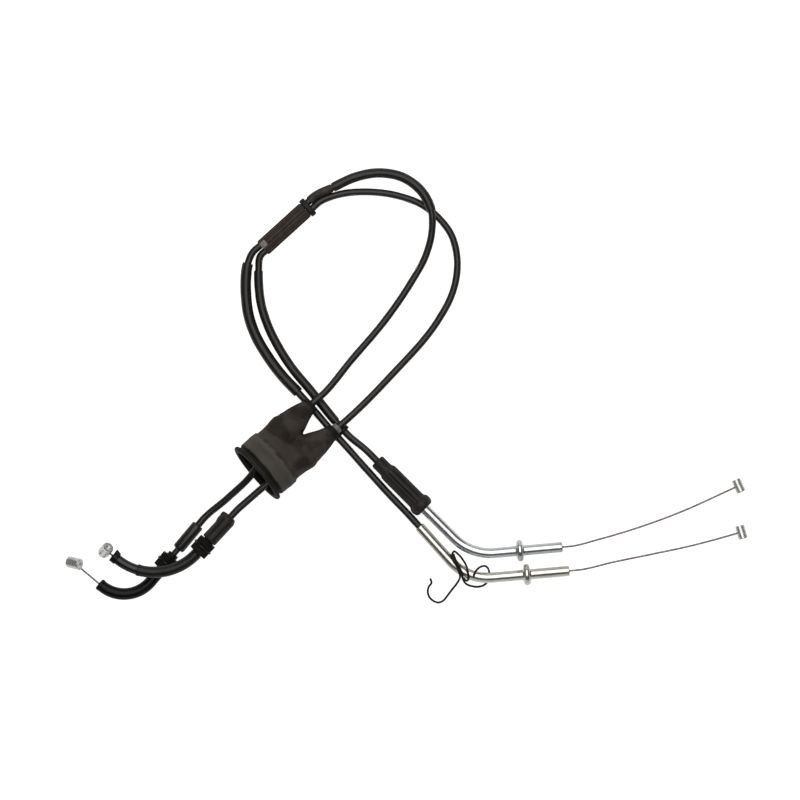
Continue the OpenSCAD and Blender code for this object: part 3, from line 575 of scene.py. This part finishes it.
def rope(pts, r, step):
    """A twisted rope: strands round a core, all along pts."""
    pitch, strands, sides = 7.0, 6, 6
    pts = resample(pts, step)
    _, v, w = frames(pts)
    s = ways_along(pts)
    thin = r / 3
    parts = [sweep(pts, thin * 1.05, sides)]
    for k in range(strands):
        phi = TAU * (s / pitch + k / strands)
        line = pts + 2 * thin * (np.cos(phi)[:, None] * v + np.sin(phi)[:, None] * w)
        parts.append(sweep(line, thin, sides))
    return joined(parts)


def nets(sdf, lo, hi, h, origin, axes):
    """Meshes the surface where sdf(x, y, z) is 0 on a grid of size h (surface nets)."""
    axis = [np.arange(lo[i], hi[i] + h, h) for i in range(3)]
    X, Y, Z = np.meshgrid(*axis, indexing="ij")
    f = sdf(X, Y, Z)
    inside = f < 0
    cells = tuple(n - 1 for n in f.shape)
    total = np.zeros(cells + (3,))
    count = np.zeros(cells)
    corners = [(i, j, k) for i in (0, 1) for j in (0, 1) for k in (0, 1)]

    def at(arr, c):
        return arr[c[0]:c[0] + cells[0], c[1]:c[1] + cells[1], c[2]:c[2] + cells[2]]
    for c in corners:
        for ax in range(3):
            if c[ax]:
                continue
            d = list(c)
            d[ax] = 1
            fa, fb = at(f, c), at(f, d)
            cross = at(inside, c) != at(inside, d)
            t = np.where(cross, fa / np.where(cross, fa - fb, 1), 0)
            for i in range(3):
                total[..., i] += np.where(cross, c[i] + (t if i == ax else 0), 0)
            count += cross
    used = count > 0
    index = -np.ones(cells, int)
    index[used] = np.arange(used.sum())
    where = np.argwhere(used)
    local = (where + total[used] / count[used][:, None]) * h + np.array(lo, float)
    faces = []
    for ax in range(3):
        u, w = [(1, 2), (2, 0), (0, 1)][ax]
        a = [slice(None)] * 3
        b = [slice(None)] * 3
        a[ax], b[ax] = slice(0, -1), slice(1, None)
        cross = inside[tuple(a)] != inside[tuple(b)]
        starts = inside[tuple(a)]
        pos = np.argwhere(cross)
        pos = pos[(pos[:, u] > 0) & (pos[:, w] > 0) & (pos[:, u] < f.shape[u] - 1)
                  & (pos[:, w] < f.shape[w] - 1)]
        eu, ew = np.eye(3, dtype=int)[u], np.eye(3, dtype=int)[w]
        quad = np.stack([index[tuple((pos - du * eu - dw * ew).T)]
                         for du, dw in ((1, 1), (0, 1), (0, 0), (1, 0))], 1)
        flip = ~starts[tuple(pos.T)]
        quad[flip] = quad[flip][:, ::-1]
        faces.append(quad[(quad >= 0).all(1)])
    faces = np.concatenate(faces)
    verts = np.asarray(origin, float) + local @ axes.T
    return verts, faces.tolist(), local


def smin(a, b, k):
    """The union of two distances, blended over about k."""
    t = np.clip(0.5 + 0.5 * (b - a) / k, 0, 1)
    return b + (a - b) * t - k * t * (1 - t)


def puck(x, q, x0, x1, r, edge=0.4):
    """Distance to a short cylinder along x with rounded edges."""
    dx = np.abs(x - (x0 + x1) / 2) - (x1 - x0) / 2 + edge
    dq = q - r + edge
    return np.minimum(np.maximum(dx, dq), 0) + np.hypot(np.maximum(dx, 0), np.maximum(dq, 0)) - edge


def steps(x, pairs):
    """Straight lines through (x, value) pairs."""
    return np.interp(x, [p[0] for p in pairs], [p[1] for p in pairs])


# ------------------------------------------------ conduits (cords)
def jacket(cable, route, seed):
    pts = resample(smooth(route), 1.6)

    def radius(s, a):
        return CONDUIT_R - 0.035 * (1 + np.sin(s * 0.31 + seed) * np.sin(s * 0.083 + 2 * seed))
    v, f, uv = sweep(pts, radius, 24, bore=CONDUIT_BORE)
    return add_mesh(cable + "_conduit", v, f, PLASTIC, ROOT, uv, [cable + "_jacket"]), pts


pull_conduit, pull_line = jacket("pull", PULL_ROUTE, 0.0)
ret_conduit, ret_line = jacket("return", RET_ROUTE, 1.7)


def sleeve(name, route, first, last, r, node, seed):
    """A slightly lumpy sleeve between two points of the route, numbered from its start."""
    pts = resample(smooth(route, first, last), 1.2)
    total = run_length(pts)

    def radius(s, a):
        end = np.clip(np.minimum(s, total - s) / 1.5, 0, 1)
        lump = (np.sin(s * 0.23 + 3 * a + seed) * np.sin(s * 0.071 + seed)
                + 0.5 * np.sin(s * 0.55 + 2 * a))
        return r - 0.25 + 0.2 * np.sqrt(end) + 0.036 * lump
    v, f, uv = sweep(pts, radius, 28, bore=SLEEVE_BORE)
    return add_mesh(name, v, f, SHRINK, ROOT, uv, [node])


loop_sleeve = sleeve("pull_loop_shrink", PULL_ROUTE, 16, 21, 3.4, "pull_loop_sleeve", 0.4)
pull_back_sleeve = sleeve("pull_back_sleeve", PULL_ROUTE, 26, 33, 3.8, "pull_sleeve", 1.1)
ret_back_sleeve = sleeve("return_back_sleeve", RET_ROUTE, 26, 34, 3.2, "return_sleeve", 2.3)


# ------------------------------------------------ what holds both conduits
def bundle():
    """The ribbed wrap round both conduits, and the ring at its near end."""
    up = np.cross(BUNDLE_U, BUNDLE_N)
    mirrored = up[2] < 0
    axes = np.stack([BUNDLE_U, BUNDLE_N, -up if mirrored else up], 1)
    n = 120
    a = TAU * np.arange(n) / n

    def section(x, r, ribs=0.0):
        """An oval round both conduits, r beyond their lines, at x along the wrap."""
        k = 1 + ribs * (0.5 + 0.5 * np.cos(20 * a)) / r
        across = r * np.cos(a) + BUNDLE_OFF * np.tanh(3 * np.cos(a))
        return np.stack([np.full(n, x), across * k, r * np.sin(a) * k], 1)

    def wrap_section(x):
        ease = min(1.0, (x - 3.9) / 1.2, (BUNDLE_L + 0.5 - x) / 1.2)
        wobble = 0.12 * math.sin(x * 0.35) + 0.08 * math.sin(x * 0.9 + 1)
        return section(x, 2.9 + 0.12 * ease + 0.08 * wobble, 0.24 * ease)

    def fuller(x):
        return math.copysign(abs(x) ** 0.65, x)

    def shape(name, sections, flip, mat, node, with_uv):
        local = np.concatenate(sections)
        m = len(sections)
        uv = np.stack([np.tile(a / TAU, m), local[:, 0] / UV_LENGTH], 1) if with_uv else None
        return add_mesh(name, BUNDLE_A + local @ axes.T, closed_grid(m, n, flip), mat, ROOT, uv,
                        [node], sharp=60)

    xs = np.concatenate([[4.25, 4.5, 5], np.linspace(6.5, BUNDLE_L - 1.5, 26),
                         [BUNDLE_L - 0.5, BUNDLE_L - 0.05]])
    wrap = shape("bundle_wrap", [wrap_section(x) for x in xs] + [section(x, 2.62) for x in xs[::-1]],
                 not mirrored, BUNDLE_SKIN, "bundle_sleeve", True)
    ring = shape("bundle_band", [section(2 + 1.98 * fuller(math.cos(p)), 3.6 + fuller(math.sin(p)))
                                 for p in np.linspace(0, TAU, 29)[:-1]],
                 mirrored, RING_RUBBER, "bundle_ring", False)
    return wrap, ring


wrap, band = bundle()
v, f, uv = sweep(resample(smooth(PULL_ROUTE, 21, 23), 1.0)[1:-2], 3.0, 24,
                 bore=SLEEVE_BORE, inset=0.3)
neck = add_mesh("bundle_neck", v, f, NECK_BROWN, ROOT, uv, ())


def bundle_tab(x, y, z):
    """Small flat catch, on top of the wrap's far end."""
    q = np.stack([np.abs(x) - 2.0, np.abs(y) - 1.9, np.abs(z) - 0.5], -1)
    return np.linalg.norm(np.maximum(q, 0), axis=-1) + np.minimum(q.max(-1), 0) - 0.35


UP = vec(0, 0, 1)
v, f, local = nets(bundle_tab, (-3, -3, -1.4), (3, 3, 1.4), 0.25,
                   bundle_point(BUNDLE_L - 2.2, 1.5) + 3.1 * UP,
                   np.stack([BUNDLE_U, np.cross(UP, BUNDLE_U), UP], 1))
tab = add_mesh("bundle_tab", v, f, GREY_BAND, ROOT, local[:, :2] / 10, ())


# ------------------------------------------------ grip wires and nipples
def barrel(name, centre, axis, wire_from, d, length, body, node):
    """A barrel nipple: an eye where the wire enters, a cup on the far side, a hollow in each
    end and a seam round it."""
    axis = unit(axis)
    toward = unit(np.asarray(wire_from, float) - centre)
    side_v = unit(toward - toward.dot(axis) * axis)
    up = np.cross(axis, side_v)
    axes = np.stack([axis, side_v, up], 1)
    r = d / 2

    def sdf(x, y, z):
        q = np.hypot(y, z)
        f = puck(x, q, -length / 2, length / 2, r, 0.5)
        cup = np.maximum(np.hypot(x, z) - 1.5, -(y + r - 0.9))
        f = np.maximum(f, -cup)
        eye = np.maximum(np.hypot(x, z) - 1.15, -(y - r + 0.6))
        f = np.maximum(f, -eye)
        dimple = np.hypot(q, np.abs(x) - length / 2 - 0.9) - 1.6
        f = np.maximum(f, -dimple)
        seam = np.maximum(np.abs(z) - 0.16, q - r - 0.1)
        seam = np.maximum(seam, np.abs(x) - length / 2 + 0.4)
        return smin(f, seam, 0.12)
    reach = vec(length / 2, r, r) + 0.9
    v, f, local = nets(sdf, -reach, reach, 0.22, centre, axes)
    return add_mesh(name, v, f, DIE_CAST, body, local[:, [1, 0]] / 10, [node], sharp=50)


def bare_wire(name, pts, step):
    v, f, uv = rope(pts, WIRE_R, step)
    return add_mesh(name + "_rope", v, f, STRAND, None, uv, [name + "_wire"], sharp=60)


def grip_end(name, route):
    """The bare wire at a cable's grip end, and its nipple."""
    pts = smooth(route, step=2.0)
    d = unit(pts[-1] - np.asarray(route[-2], float))
    wire = bare_wire(name, pts, 0.55)
    nip = barrel(name + "_barrel", np.asarray(route[-1], float), np.cross(d, UP), route[-2],
                 6.4, 9.5, name + "_end", name + "_nipple")
    return wire, nip, pts


pull_wire, pull_nip, pull_wire_line = grip_end("pull_grip", PULL_GRIP_ROUTE)
ret_wire, ret_nip, ret_wire_line = grip_end("return_grip", RET_GRIP_ROUTE)


def carb_end(name, mouth, deg, reach, tilt):
    """The short bare wire out of an elbow, and its nipple."""
    start, end = ahead(mouth, deg, -6), ahead(mouth, deg, reach)
    wire = bare_wire(name, np.array([start, (start + end) / 2, end]), 0.5)
    ty, tz = (math.radians(x) for x in tilt)
    axis = vec(math.sin(ty) * math.cos(tz), math.sin(ty) * math.sin(tz), math.cos(ty))
    barrel(name + "_barrel", end, axis, mouth, 8.0, 10.0, name + "_end", name + "_nipple")
    return wire, start


pull_short, pull_short_start = carb_end("pull_carb", PULL_MOUTH, PULL_MOUTH_DIR, 23.5, (60, -12))
ret_short, ret_short_start = carb_end("return_carb", RET_MOUTH, RET_MOUTH_DIR, 7.4, (33, 45))


# ------------------------------------------------ guide tubes and collars
def guide(cable, line, mat, seat):
    """A guide tube. The conduit goes into it as far as seat."""
    def radius(s, a):
        return 3.6 - 0.02 * np.sin(s * 0.11)

    def bore(s, a):
        return np.where(s < seat, SLEEVE_BORE, TUBE_BORE)
    v, f, uv = sweep(resample(line, 1.0), radius, 48, bore=bore, inset=0.55)
    add_mesh(cable + "_tube_skin", v, f, mat, ROOT, uv, [cable + "_guide_tube"],
             sharp=50)


guide("pull", PULL_TUBE_LINE, ZINC_WARM, 12)
guide("return", RET_TUBE_LINE, ZINC, 0)


def tube_collar(cable, tip, deg, mat):
    """Swaged collar: a rounded main bead between two small shoulders."""
    half = [(0, 7.5), (0.7, 7.42), (1.3, 7.15), (1.8, 6.65), (2.15, 5.9), (2.25, 5),
            (2.4, 4.3), (2.9, 3.62)]
    prof = [(-x, r) for x, r in half[:0:-1]] + half + [(-2.9, 3.62)]
    turned(cable + "_tube_bead", ahead(tip, deg, -29.5), deg, prof, mat, cable + "_collar",
           sharp=60)


tube_collar("pull", PULL_TIP, PULL_TIP_DIR, ZINC_WARM)
tube_collar("return", RET_TIP, RET_TIP_DIR, ZINC)


# ------------------------------------------------ ribbed cover at the grip end
def grip_cover():
    outer = [(0, 2.78), (0, 4.2), (0.4, 4.75), (1.1, 5.1), (2.2, 5.2), (4, 5.15), (7.6, 5.15),
             (8.9, 5.25), (9.8, 5.6), (10.5, 6.05), (11.4, 6.3), (12.6, 6.38), (19, 6.4), (26, 6.4),
             (33, 6.4), (38, 6.4), (39, 6.5), (39.7, 6.9), (40.4, 7.5), (41.3, 7.9), (42.6, 8),
             (44, 7.95), (45.3, 7.6), (46.3, 7), (46.9, 6.2), (47, 5.45), (15.7, 5.45),
             (15.5, 2.78), (0, 2.78)]
    dense = []      # long straight stretches in six parts
    for (xa, ra), (xb, rb) in zip(outer, outer[1:]):
        n = 6 if 13 < xa < xb - 3 else 1
        dense += [(xa + (xb - xa) * k / n, ra + (rb - ra) * k / n) for k in range(n)]
    dense.append(outer[-1])

    def radius(x, a, r):
        groove = np.clip(np.cos(12 * a) * 3.2 - 2.0, 0, 1)
        body = np.clip((x - 10) / 1.5, 0, 1) * np.clip((39.4 - x) / 1.0, 0, 1)
        return np.where(r > 5.5, r - 0.65 * groove * body, r)
    turned("grip_cover_skin", ahead(RET_TUBE, RET_TUBE_DIR, -31.5), RET_TUBE_DIR, dense, GRIP_RUBBER,
           "grip_adjuster_cover", 144, radius, 55, "adjuster_cover")


grip_cover()


# ------------------------------------------------ spring clip
v, f, uv = sweep(resample(smooth(CLIP_ROUTE, step=0.7), 0.6), 0.76, 12, inset=0.2)
add_mesh("clip_wire", v, f, SPRING, "spring_clip", uv, ["spring_clip"], sharp=60)


# ------------------------------------------------ boot
def boot():
    wall, length = 1.8, 61.5

    def outer(x, y, z):
        """Rim, groove and band, then an oval that narrows to the two legs."""
        q = np.hypot(y, z)
        rim = puck(x, q, 0.0, 2.7, 23.15, 1.1)
        groove = puck(x, q, 0.4, 8, 20.7, 0.5)
        belt = np.maximum(q - 21.75 + 0.0045 * (x - 11) ** 2, np.maximum(4.9 - x, x - 18))
        shell = smin(smin(rim, groove, 0.5), belt, 0.9)
        a = steps(x, [(14, 21.3), (17, 20.6), (20, 19.7), (24, 19.2), (30, 19.4), (36, 18.6),
                      (40, 14)])
        b = steps(x, [(14, 21.3), (17, 20.6), (20, 17.8), (24, 13.4), (28, 9.6), (32, 6.6),
                      (36, 4.8), (40, 4)])
        oval = (np.sqrt((y / a) ** 2 + (z / b) ** 2) - 1) * np.minimum(a, b) * 0.9
        shell = smin(shell, np.maximum(oval, np.maximum(13 - x, (x - 38.5) * 0.8)), 1.6)
        off = steps(x, [(14, 8.8), (22, 9.9), (34, 11.2), (38, 10.3), (45, 10.7), (52, 11.6),
                        (length, 12)])
        leg_r = steps(x, [(14, 10.6), (22, 10.0), (28, 9.6), (34, 10.1), (40, 10.3), (46, 9.3),
                          (52, 7.3), (57, 5.75), (length, 5.1)])
        for k in (-1, 1):
            leg = np.hypot(y - k * off, z) - leg_r
            shell = smin(shell, np.maximum(leg, np.maximum(14 - x, x - 61.4)), 3.2)
        return shell

    def sdf(x, y, z):
        o = outer(x, y, z)
        thick = wall + 2.4 * np.clip((x - 47) / 8, 0, 1)
        shell = np.maximum(o, -(o + thick))
        q = np.hypot(y, z)
        mouth = puck(x, q, -6, 5.6, 18.7, 0.6)
        shell = np.maximum(shell, -mouth)
        for k in (-1, 1):
            bore = np.maximum(np.hypot(y - k * LEG_OFF, z) - 2.62, 44 - x)
            shell = np.maximum(shell, -bore)
        return shell
    v, f, local = nets(sdf, (-1.2, -24.3, -24.3), (62.6, 24.3, 24.3), 0.5, BOOT_AT,
                       place(BOOT_DIR, BOOT_TILT))
    # the inside gets the near-black end of the colour bands: painted shade inside the boot
    inside = outer(*local.T) < -0.9 * wall
    uv = np.stack([local[:, 1] / length, np.where(inside, 0.97, local[:, 0] / length)], 1)
    add_mesh("boot_skin", v, f, BOOT_RUBBER, "boot", uv, ["boot"], sharp=48)


boot()
tip_band = [(0, 2.78), (0, 3.3), (0.3, 3.58), (2.7, 3.58), (3, 3.3), (3, 2.78), (0, 2.78)]
v, f, uv = lathe(tip_band, boot_point(61.8, -LEG_OFF), place(BOOT_DIR, BOOT_TILT), 48)
add_mesh("leg_band", v, f, GREY_BAND, "boot", uv, ["boot_band"])


# ------------------------------------------------ twin clip past the boot
def twin_clip():
    a, b = np.asarray(PULL_ROUTE[36], float), np.asarray(RET_ROUTE[35], float)
    d = unit(np.asarray(PULL_ROUTE[37], float) - np.asarray(PULL_ROUTE[35], float))
    across = b - a
    across = unit(across - across.dot(d) * d)
    axes = np.stack([d, across, np.cross(d, across)], 1)
    gap = (b - a) @ axes

    def sdf(x, y, z):
        qa = np.hypot(y, z)
        qb = np.hypot(y - gap[1], z - gap[2])
        middle = y - gap[1] / 2
        f = smin(puck(x, qa, -3, 3, 4.05, 0.7), puck(x - gap[0], qb, -3, 3, 4.05, 0.7), 1.2)
        wall = np.maximum(np.abs(middle) - 3.2, np.abs(z - gap[2] / 2) - 2.6)
        f = smin(f, np.maximum(np.abs(x) - 2.6, wall), 0.6)
        lug = np.sqrt((x / 2.2) ** 2 + (middle / 2.0) ** 2 + ((z - 4.2) / 1.5) ** 2) - 1
        f = smin(f, lug * 1.6, 0.8)
        groove = np.maximum(np.abs(x) - 0.35, 3.75 - np.minimum(qa, qb))
        f = np.maximum(f, -groove)
        f = np.maximum(f, -(qa - 2.58))
        return np.maximum(f, -(qb - 2.58))
    v, f, local = nets(sdf, (-4.5, -5.2, -5.6), (4.5, gap[1] + 5.2, 6.4), 0.28, a, axes)
    return add_mesh("twin_clip_skin", v, f, CLIP_BLACK, ROOT, local[:, :2] / 10,
                    ["twin_clip"])


clip = twin_clip()


# ------------------------------------------------ carburettor ends
def thread(cable, origin, deg, start, stop):
    """A helical thread on a hollow stem."""
    pitch, crest, depth, end_r = 1.25, 3.98, 0.42, 3.5
    xs = np.arange(start, stop + 1e-6, pitch / 8)

    def radius(x, a, r):
        phase = (x / pitch - a / TAU) % 1.0
        cut = depth * (1 - np.abs(2 * phase - 1) * 1.15).clip(0, 1)
        return np.where(r > 3, r - cut, r)
    prof = [(start, TUBE_BORE), (start, end_r)] + [(x, crest) for x in xs]
    prof += [(stop, end_r), (stop, TUBE_BORE), (start, TUBE_BORE)]
    turned(cable + "_thread", origin, deg, prof, BLACK_PLATE, cable + "_stem",
           48, radius, 70)


def nut(cable, letter, which, origin, deg, start):
    """A hexagonal nut with turned corners, from start on along the stem."""
    flats, thick, hole = 13.0, 4.5, 4.05
    stop = start + thick

    def radius(x, a, r):
        hexagon = flats / 2 / np.cos((a + math.pi / 6) % (math.pi / 3) - math.pi / 6)
        cone = flats / 2 * 0.965 + np.maximum(np.minimum(x - start, stop - x), 0) * 1.75
        return np.where(r > 5, np.minimum(hexagon, cone), r)
    xs = [start + x for x in (0, 0.12, 0.25, 0.4, 0.6)]
    xs += [start + thick / 2] + [start + stop - x for x in xs[::-1]]
    prof = [(start, hole + 0.02), (start, hole + 0.45)] + [(x, 7.0) for x in xs]
    prof += [(stop, hole + 0.45), (stop, hole + 0.02), (start, hole + 0.02)]
    turned(f"{cable}_nut_{letter}", origin, deg, prof, BLACK_PLATE, f"{cable}_nut_{which}",
           96, radius, 30, f"{cable}_{which}_nut")


def washer(cable, origin, deg, start):
    r, hole, edge = 7.2, 4.06, 0.25
    stop = start + 1.5
    prof = [(start, hole), (start, r - edge), (start + edge, r), (stop - edge, r),
            (stop, r - edge), (stop, hole), (start, hole)]
    turned(cable + "_lock_washer", origin, deg, prof, BLACK_PLATE, cable + "_washer")


thread("pull", PULL_CARB, PULL_CARB_DIR, 26.1, 42)
thread("return", RET_CARB, RET_CARB_DIR, 12.2, 34.5)
for cable, at, deg, rear, middle, front in (
        ("pull", PULL_CARB, PULL_CARB_DIR, 28.6, 33.3, 35.0),
        ("return", RET_CARB, RET_CARB_DIR, 22.9, 27.6, 29.3)):
    nut(cable, "b", "rear", at, deg, rear)
    washer(cable, at, deg, middle)
    nut(cable, "a", "front", at, deg, front)

ferrule = [(0, 2.58), (0, 3.5), (0.2, 3.8), (0.5, 4.03), (1.0, 4.2), (9, 4.2), (20.3, 4.2),
           (21, 4.05), (21.5, 3.7), (21.7, 3.1), (21.75, 2.1), (26, 2.1), (26, 1.25),
           (12.1, 1.25), (12.05, 2.58), (0, 2.58)]
turned("pull_ferrule_skin", PULL_CARB, PULL_CARB_DIR, ferrule, FERRULE_BLACK, "pull_ferrule")


def ret_cover():
    """Six flats, and a tongue along the far side."""
    def radius(x, a, r):
        flat = np.clip(np.cos(6 * a) * 1.6 - 0.5, 0, 1)
        tongue = np.exp(-((a - math.pi) / 0.42) ** 2)
        tongue = tongue * np.clip(x / 0.6, 0, 1) * np.clip((9 - x) / 2, 0, 1)
        r = np.where(r > 3.3, r + tongue * np.maximum(0, 6.7 - r), r)
        body = np.clip((x - 3.2) / 1.5, 0, 1) * np.clip((20.3 - x) / 1.2, 0, 1)
        return np.where(r > 4.9, r - 0.75 * flat * body, r)
    outer = [(0, 2.78), (0, 3.5), (0.35, 4.2), (1.2, 4.6), (2, 5.1), (3, 5.5)]
    outer += [(x, 5.6) for x in np.linspace(4.2, 19.6, 10)]
    outer += [(20.4, 5.6), (21.6, 5.5), (22.1, 5.2), (22.3, 4.8), (22.3, 4.12), (12.2, 4.12),
              (12.1, 3.52), (2.1, 3.52), (2.0, 2.78), (0, 2.78)]
    turned("return_cover_skin", RET_CARB, RET_CARB_DIR, outer, CARB_RUBBER,
           "return_adjuster_cover", 120, radius, 50)


ret_cover()


def elbow(cable, line, r, mat):
    def radius(s, a):
        return r - 0.25 + 0.25 * np.clip(s / 0.8, 0, 1) - 0.02 * np.sin(s * 0.3)
    v, f, uv = sweep(resample(line, 0.9), radius, 48, bore=TUBE_BORE, inset=0.3)
    add_mesh(cable + "_elbow_skin", v, f, mat, ROOT, uv, [cable + "_elbow"],
             sharp=50)


elbow("pull", PULL_ELBOW_LINE, 4.1, ELBOW_BLACK)
elbow("return", RET_ELBOW_LINE, 3.5, GLOSS_BLACK)


def elbow_sleeve():
    """Over the first part of the return elbow, with a raised edge."""
    start = ahead(RET_CARB, RET_CARB_DIR, 34.7)
    arc = [arc_end(start, RET_CARB_DIR, -64 * k / 40, 40) for k in range(41)]
    line = resample(np.array([ahead(RET_CARB, RET_CARB_DIR, 34.6)] + arc), 0.8)
    total = run_length(line)

    def radius(s, a):
        edge = np.exp(-((total - 1.3 - s) / 0.8) ** 2)
        return 3.92 + 0.2 * edge + 0.02 * np.sin(0.6 * s)
    v, f, uv = sweep(line, radius, 48, bore=3.56, inset=0.15)
    add_mesh("return_elbow_tube", v, f, SLEEVE_BLACK, ROOT, uv, ["return_elbow_sleeve"])


elbow_sleeve()


def plain_bush(x, y, z):
    q = np.hypot(y, z)
    f = smin(puck(x, q, 1.2, 4.48, 4.3, 1.3), puck(x, q, 2.2, 3.2, 2.12, 0.1), 0.1)
    f = np.maximum(f, -np.maximum(q - 2.9, 3.9 - x))
    return np.maximum(f, -(q - 1.3))


def eared_bush(x, y, z):
    """With a pointed ear on the outside of the bend."""
    q = np.hypot(y, z)
    ear = np.maximum(np.abs(z) - 1.3 + 0.25 * (x - 1), np.abs(y + 3.6 + 0.25 * (x - 2)) - 1.25)
    ear = np.maximum(ear, np.maximum(0.8 - x, x - 4.5))
    f = smin(puck(x, q, 0, 4.45, 4.15, 0.5), ear, 0.5)
    f = np.maximum(f, -np.maximum(q - 2.5, 3.3 - x))
    f = np.maximum(f, -np.maximum(q - 3.56, x - 2.95))
    return np.maximum(f, -(q - 1.3))


def bush(cable, sdf, mouth, deg):
    """End bush over the elbow's mouth."""
    v, f, local = nets(sdf, (-0.8, -5.4, -5.0), (5.4, 5.0, 5.0), 0.25, ahead(mouth, deg, -3.0),
                       place(deg))
    add_mesh(cable + "_mouth_bush", v, f, ELBOW_BLACK, ROOT, local[:, :2] / 10,
             [cable + "_elbow_bush"], sharp=50)


bush("pull", plain_bush, PULL_MOUTH, PULL_MOUTH_DIR)
bush("return", eared_bush, RET_MOUTH, RET_MOUTH_DIR)


# ------------------------------------------------ hidden pieces, kept from the CAD
for nodes, mat in (
        (("pull_armour", "return_armour", "return_ferrule", "grip_adjuster_screw",
          "grip_adjuster_barrel", "grip_adjuster_nut"), STEEL),
        (("pull_liner", "return_liner"), LINER),
        (("pull_core_wire", "return_core_wire"), STRAND)):
    for n in nodes:
        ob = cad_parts[n]
        ob.data.materials.clear()
        ob.data.materials.append(mat)


for wire, body, p, q in (
        (pull_wire, "pull_grip_end", ahead(PULL_TIP, PULL_TIP_DIR, -14), PULL_GRIP_ROUTE[-2]),
        (ret_wire, "return_grip_end", ahead(RET_TIP, RET_TIP_DIR, -14), RET_GRIP_ROUTE[-2]),
        (pull_short, "pull_carb_end", pull_short_start, ahead(PULL_MOUTH, PULL_MOUTH_DIR, 18)),
        (ret_short, "return_carb_end", ret_short_start, ahead(RET_MOUTH, RET_MOUTH_DIR, 4))):
    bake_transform(wire)


# ------------------------------------------------ floor, light
def stage():
    mesh = bpy.data.meshes.new("floor")
    s, below = 6.0, -0.0003
    mesh.from_pydata([(-s, -s, below), (s, -s, below), (s, s, below), (-s, s, below)],
                     [], [(0, 1, 2, 3)])
    floor = bpy.data.objects.new("floor", mesh)
    bpy.context.collection.objects.link(floor)
    mat = bpy.data.materials.new("floor white")
    mat.use_nodes = True
    bsdf = mat.node_tree.nodes["Principled BSDF"]
    bsdf.inputs["Base Color"].default_value = (0.9, 0.9, 0.9, 1)
    bsdf.inputs["Roughness"].default_value = 0.9
    bsdf.inputs["Specular IOR Level"].default_value = 0.1
    bsdf.inputs["Emission Color"].default_value = (1, 1, 1, 1)
    # white to look at, dimmer as a light on the parts
    tree = mat.node_tree
    seen = tree.nodes.new("ShaderNodeLightPath")
    glow = tree.nodes.new("ShaderNodeMapRange")
    tree.links.new(seen.outputs["Is Camera Ray"], glow.inputs["Value"])
    glow.inputs["To Min"].default_value = 0.22
    glow.inputs["To Max"].default_value = 0.85
    tree.links.new(glow.outputs["Result"], bsdf.inputs["Emission Strength"])
    mesh.materials.append(mat)
    world = bpy.data.worlds.new("studio")
    world.use_nodes = True
    back = world.node_tree.nodes["Background"]
    back.inputs["Color"].default_value = (1, 0.97, 0.93, 1)
    back.inputs["Strength"].default_value = 0.1
    bpy.context.scene.world = world
    area_light("overhead", (0.05, 0.5, 1.42), (0.05, 0.06, 0), (1.5, 1.9), 14)
    area_light("far side", (0.05, 2.0, 0.5), (0.05, 0.05, 0), (3.0, 0.7), 3.5)
    area_light("near side", (0.05, -1.95, 0.62), (0.05, 0.05, 0), (3.0, 0.85), 4, (0.85, 0.93, 1))
    bpy.context.scene.view_settings.view_transform = "Standard"


stage()
